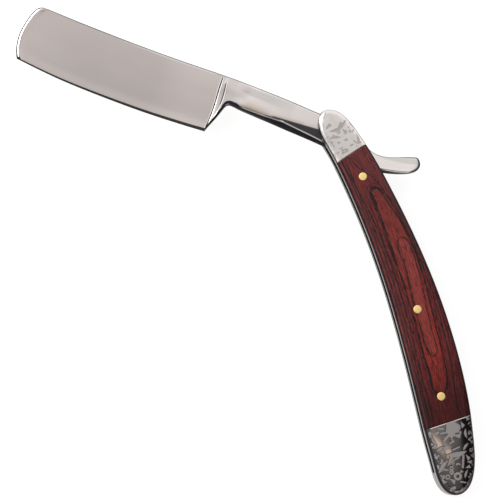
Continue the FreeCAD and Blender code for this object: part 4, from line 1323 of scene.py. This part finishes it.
for s in np.linspace(42.6, 15.0, 62):
    a, b = np.interp(s, sh_s, sh_a), np.interp(s, sh_s, sh_b)
    S, E = np.array([s, a]), np.array([s, b])
    D = b - a
    d, h = shank_section(s, D)
    k = float(smooth(37.0, 43.4, s))
    if k > 0:
        Hs = stock_h(d, np.full(len(d), 43.0))
        Hs[:N_TOP] = np.linspace(0, 1, N_TOP) * Hs[N_TOP]
        Hs = Hs * np.sqrt(np.clip(1 - (1 - np.clip((D - d) / 1.30, 0, 1)) ** 2, 0, 1))
        h = h * (1 - k) + Hs * k
    un, glint_amt, warm_amt = shank_marks(s, D, d)
    add(station(S, E, D, d), h, 0.0, un, 0.0, glint_amt, warm_amt)

# tang and tail: stations between its two outlines, bending onto the tip
TS = [(14.0, -5.98), (11.0, -5.83), (4.0, -5.25), (-2.0, -4.20), (-7.0, -2.20), (-11.0, 0.25), (-14.5, 1.50), (-18.0, 1.45), (-21.8, 0.30),
      (-25.2, -1.35), (-28.0, -2.50)]
TE = [(14.0, 5.10), (7.0, 5.60), (1.0, 6.28), (-5.0, 7.45), (-10.0, 8.35), (-15.0, 8.40), (-20.0, 7.55), (-24.6, 6.30), (-28.3, 4.75)]
TIP = [(-28.0, -2.50), (-29.2, -2.66), (-30.7, -2.25), (-31.75, -1.15), (-32.25, 0.0), (-32.2, 1.2), (-31.2, 2.85), (-29.9, 3.85), (-28.3, 4.75)]
fs, fe, ft = spline(TS), spline(TE), spline(TIP)
a0, a1 = np.array(TIP[0]), np.array(TIP[-1])
qt = ft(np.linspace(0, 1, 600))
ql = np.maximum.accumulate((qt - a0) @ (a1 - a0) / ((a1 - a0) @ (a1 - a0)))


def tip_bulge(v):
    x = np.interp(v, ql, qt[:, 0]); y = np.interp(v, ql, qt[:, 1])
    return np.c_[x, y] - ((1 - v)[:, None] * a0 + v[:, None] * a1)


us = np.r_[np.linspace(0, 0.86, 50), np.linspace(0.86, 0.975, 12)[1:]]
# each row: place, squeeze, painted shade on the tip's end
tail_seq = [(u, 1.0, 0.0) for u in us] + [(0.984, 0.985, 0.0), (0.990, 0.95, 0.75), (0.996, 0.86, 0.9), (1.0, 0.62, 0.9), (1.0, 0.0, 0.9)]
for u, sq, un in tail_seq:
    S, E = fs(np.array([u]))[0], fe(np.array([u]))[0]
    D = np.hypot(*(E - S))
    s = 0.5 * (S[0] + E[0])
    bulge = 0.0 if u < 0.70 else ((u - 0.70) / 0.30) ** 2.0
    d1, h1 = shank_section(max(s, 6.0), D)
    # tail: a broad face leaning to the spine side, a narrow facet beside it near the tip, rounded below
    H = float(np.interp(s, [-32, -24, -16, -8, 6, 14], [1.45, 1.58, 1.76, 1.88, 1.88, 1.87]))
    lw = float(np.interp(s, [-30, -22, -12, 0], [0.55, 0.80, 1.15, 1.25]))
    vf = float(np.interp(s, [-32, -24, -17, -12], [0.46, 0.34, 0.12, 0.0]))
    ve = 1 - lw / D - 0.05

    def face(v, vf=vf, ve=ve, H=H, D=D):
        return H - 0.072 * D * (ve - np.clip(v, vf, ve)) - 0.026 * D * np.clip(vf - v, 0, 1)
    grid = [0.10, 0.18, 0.26, max(vf - 0.02, 0.30), max(vf + 0.02, 0.34), 0.50, 0.62, 0.74, ve]
    d2, h2 = profile(D, float(face(0.05)) * 0.93, [(f * D, float(face(f))) for f in grid], lw, H - 0.16, 2.0, 0.40)
    mixk = float(smooth(0, 1, (4.0 - s) / 6.0))
    d, h = d1 * (1 - mixk) + d2 * mixk, h1 * (1 - mixk) + h2 * mixk
    h[0] = h[-1] = 0.0
    v = d / D
    P = station(S, E, D, d) + tip_bulge(v) * bulge
    wd = lw * float(np.interp(s, [-30, -22, -12, 0], [0.75, 0.85, 0.95, 1.0]))
    ub, _, _ = shank_marks(max(s, 6.0), D, d)
    # painted shade along the rolled lower side and a thin dark line above it; painted warm reflection near the lower
    # edge towards the tip
    belly_shade = 0.93 * smooth(D - wd - 0.05, D - wd + 0.12, d)
    belly_shade = np.maximum(belly_shade, 0.5 * np.exp(-((d - (D - wd - 0.42)) / 0.13) ** 2) * float(smooth(-19.0, -11.0, s)))
    tail_shade = np.maximum(belly_shade, crown_shade_line(0.62, d, 0.16))
    warm_reflection = 0.5 * np.exp(-((d - (D - wd * 0.55)) / 0.25) ** 2) * float(smooth(-12.0, -18.0, s))
    add(P, h, 0.0, np.maximum(ub * (1 - mixk) + tail_shade * mixk - warm_reflection * 0.5, un), 0.0, 0.0, warm_reflection, sq)

NP = N_TOP + N_FLANK + N_EDGE
ring = 2 * NP - 2
c, s_ = math.cos(REST), math.sin(REST)
V = []
MARK = {k: [] for k in ("ground", "edge", "under", "painted_glint", "warm_reflection")}
for r in rows:
    P, h = r["P"], np.maximum(r["h"], 0.0)
    h[0] = h[-1] = 0
    X = P[:, 0] * c - P[:, 1] * s_
    Y = P[:, 0] * s_ + P[:, 1] * c
    idx = list(range(NP)) + list(range(NP - 2, 0, -1))
    sg = [1] * NP + [-1] * (NP - 2)
    for i, g in zip(idx, sg):
        V.append((X[i], Y[i], Z_MID + g * h[i]))
        for k in MARK:
            MARK[k].append(float(r[k][i]))
F = []
nr = len(rows)
for a in range(nr - 1):
    for j in range(ring):
        k = (j + 1) % ring
        F.append((a * ring + j, a * ring + k, (a + 1) * ring + k, (a + 1) * ring + j))
blade = make_object("blade_shown", V, F, "blade", M_BLADE, ["blade"], MARK, 30)


def tidy_and_bore(ob):
    """Merges the collapsed ends, closes the bore through the tang, and leaves one clean mesh."""
    import bmesh
    bm = bmesh.new()
    bm.from_mesh(ob.data)
    bmesh.ops.remove_doubles(bm, verts=bm.verts, dist=2e-6)
    bmesh.ops.dissolve_degenerate(bm, edges=bm.edges, dist=1e-7)
    bmesh.ops.recalc_face_normals(bm, faces=bm.faces)
    for f in bm.faces:
        f.smooth = True
    bm.to_mesh(ob.data)
    bm.free()
    n = 96
    cv = [(1.65 * math.cos(2 * math.pi * k / n) * MM, 1.65 * math.sin(2 * math.pi * k / n) * MM, z * MM) for z in (2.0, 11.0) for k in range(n)]
    cf = [tuple(range(n))[::-1], tuple(range(n, 2 * n))] + [(k, (k + 1) % n, n + (k + 1) % n, n + k) for k in range(n)]
    me = bpy.data.meshes.new("bore_tool")
    me.from_pydata(cv, [], cf)
    tool = bpy.data.objects.new("bore_tool", me)
    bpy.context.scene.collection.objects.link(tool)
    mod = ob.modifiers.new("bore", "BOOLEAN")
    mod.operation = "DIFFERENCE"
    mod.solver = "EXACT"
    mod.object = tool
    dg = bpy.context.evaluated_depsgraph_get()
    new = bpy.data.meshes.new_from_object(ob.evaluated_get(dg))
    ob.modifiers.clear()
    ob.data = new
    bpy.data.objects.remove(tool)
    new.shade_smooth()
    new.set_sharp_from_angle(angle=math.radians(30))


tidy_and_bore(blade)

# ------------------------------------------------------------------ floor and light
U_DIR = to_row(np.array([1.0, 0, 0]))
V_DIR = to_row(np.array([0, 1.0, 0]))


def floor():
    m = Nodes("mat_floor")
    n = m.noise(m.coord(), 40.0, 3.0, 0.5)
    m.set(Base_Color=m.ramp(n, [(0.3, (0.27, 0.27, 0.27)), (0.7, (0.29, 0.29, 0.29))]), Roughness=0.9)
    m.bsdf.inputs["Specular IOR Level"].default_value = 0.1
    m.bsdf.inputs["Emission Color"].default_value = (1, 1, 1, 1)          # a lit white table
    m.bsdf.inputs["Emission Strength"].default_value = 0.85
    me = bpy.data.meshes.new("floor")
    s = 6.0
    me.from_pydata([(-s, -s, -0.00002), (s, -s, -0.00002), (s, s, -0.00002), (-s, s, -0.00002)], [], [(0, 1, 2, 3)])
    ob = bpy.data.objects.new("floor", me)
    bpy.context.scene.collection.objects.link(ob)
    me.materials.append(m.mat)


floor()


def light_world():
    w = bpy.data.worlds.new("studio")
    bpy.context.scene.world = w
    w.use_nodes = True
    t = w.node_tree
    t.nodes.clear()
    out = t.nodes.new("ShaderNodeOutputWorld")
    bg = t.nodes.new("ShaderNodeBackground")
    t.links.new(bg.outputs[0], out.inputs[0])
    tc = t.nodes.new("ShaderNodeTexCoord")

    def dot(v):
        n = t.nodes.new("ShaderNodeVectorMath")
        n.operation = "DOT_PRODUCT"
        t.links.new(tc.outputs["Generated"], n.inputs[0])
        n.inputs[1].default_value = tuple(v)
        return n.outputs["Value"]

    def mt(op, a, b):
        n = t.nodes.new("ShaderNodeMath")
        n.operation = op
        for s, x in zip(n.inputs, (a, b)):
            if isinstance(x, bpy.types.NodeSocket):
                t.links.new(x, s)
            else:
                s.default_value = x
        return n.outputs[0]
    # slopes of the direction: to the right, up the picture, and towards the bright side at the upper left
    z = mt("MAXIMUM", dot(np.array([0, 0, 1.0])), 0.02)
    su, sv = mt("DIVIDE", dot(U_DIR), z), mt("DIVIDE", dot(V_DIR), z)
    r = mt("SUBTRACT", sv, mt("MULTIPLY", su, 0.5))

    def step(v, lo, hi):
        n = t.nodes.new("ShaderNodeMapRange")
        n.interpolation_type = "SMOOTHSTEP"
        t.links.new(v, n.inputs[0])
        for k, x in zip((1, 2, 3, 4), (lo, hi, 0.0, 1.0)):
            n.inputs[k].default_value = x
        return n.outputs[0]

    def mixc(f, c1, c2):
        n = t.nodes.new("ShaderNodeMix")
        n.data_type = "RGBA"
        t.links.new(f, n.inputs[0])
        for k, x in ((6, c1), (7, c2)):
            if isinstance(x, bpy.types.NodeSocket):
                t.links.new(x, n.inputs[k])
            else:
                n.inputs[k].default_value = (*x, 1)
        return n.outputs[2]
    ramp = t.nodes.new("ShaderNodeValToRGB")
    mr = t.nodes.new("ShaderNodeMapRange")
    mr.clamp = True
    t.links.new(r, mr.inputs[0])
    mr.inputs[1].default_value = -1.0
    mr.inputs[2].default_value = 1.0
    t.links.new(mr.outputs[0], ramp.inputs[0])
    cr = ramp.color_ramp
    sl = [(-1.0, 0.90), (-0.60, 0.65), (-0.40, 0.10), (-0.30, 0.03), (-0.14, 0.02), (-0.10, 0.05), (-0.065, 0.11), (-0.04, 0.15), (-0.02, 0.22), (0.02, 0.50),
          (0.06, 0.66), (0.16, 0.73), (0.24, 0.93), (0.30, 1.03), (0.50, 1.12), (1.0, 1.20)]
    while len(cr.elements) > 1:
        cr.elements.remove(cr.elements[-1])
    for i, (p, v) in enumerate(sl):
        p = (p + 1) / 2
        e = cr.elements[0] if i == 0 else cr.elements.new(p)
        e.position = p
        e.color = (v, v * 0.985, v * 0.975, 1)
    col = ramp.outputs[0]
    # a dark flag low on the right, and a narrow warm strip beside it
    far = mt("MAXIMUM", mt("SUBTRACT", su, 0.25), 0.0)
    upper = mt("SUBTRACT", sv, mt("MULTIPLY", far, 0.45))
    lower = mt("ADD", sv, mt("MULTIPLY", far, 0.60))
    flag = mt("MULTIPLY", mt("MULTIPLY", step(su, 0.195, 0.222), step(upper, 0.17, 0.10)), step(lower, -0.30, -0.16))
    col = mixc(flag, col, (0.012, 0.008, 0.010))
    band = mt("MULTIPLY", step(sv, 0.0165, 0.0185), step(sv, 0.0265, 0.0245))
    ends = mt("MULTIPLY", step(su, 0.098, 0.106), step(su, 0.168, 0.160))
    gap = mt("SUBTRACT", 1.0, mt("MULTIPLY", step(su, 0.128, 0.131), step(su, 0.138, 0.135)))
    col = mixc(mt("MULTIPLY", mt("MULTIPLY", band, ends), gap), col, (0.88, 0.68, 0.55))
    t.links.new(col, bg.inputs[0])
    bg.inputs[1].default_value = WORLD
    return w


WORLD = 1.0
light_world()


def area(name, pos, target, size, power, color=(1, 1, 1)):
    L = bpy.data.lights.new(name, "AREA")
    L.shape = "RECTANGLE"
    L.size, L.size_y = size
    L.energy = power
    L.color = color
    ob = bpy.data.objects.new(name, L)
    bpy.context.scene.collection.objects.link(ob)
    d = Vector(target) - Vector(pos)
    ob.location = pos
    ob.rotation_euler = d.to_track_quat("-Z", "Y").to_euler()
    return ob


mid = Vector((0.03, 0.02, 0.0))
key = Vector(tuple(V_DIR)) * 0.42 - Vector(tuple(U_DIR)) * 0.88 + Vector((0, 0, 0.60))
area("key_softbox", tuple(mid + key), tuple(mid), (1.0, 0.6), 9.0, (1.0, 0.985, 0.965))
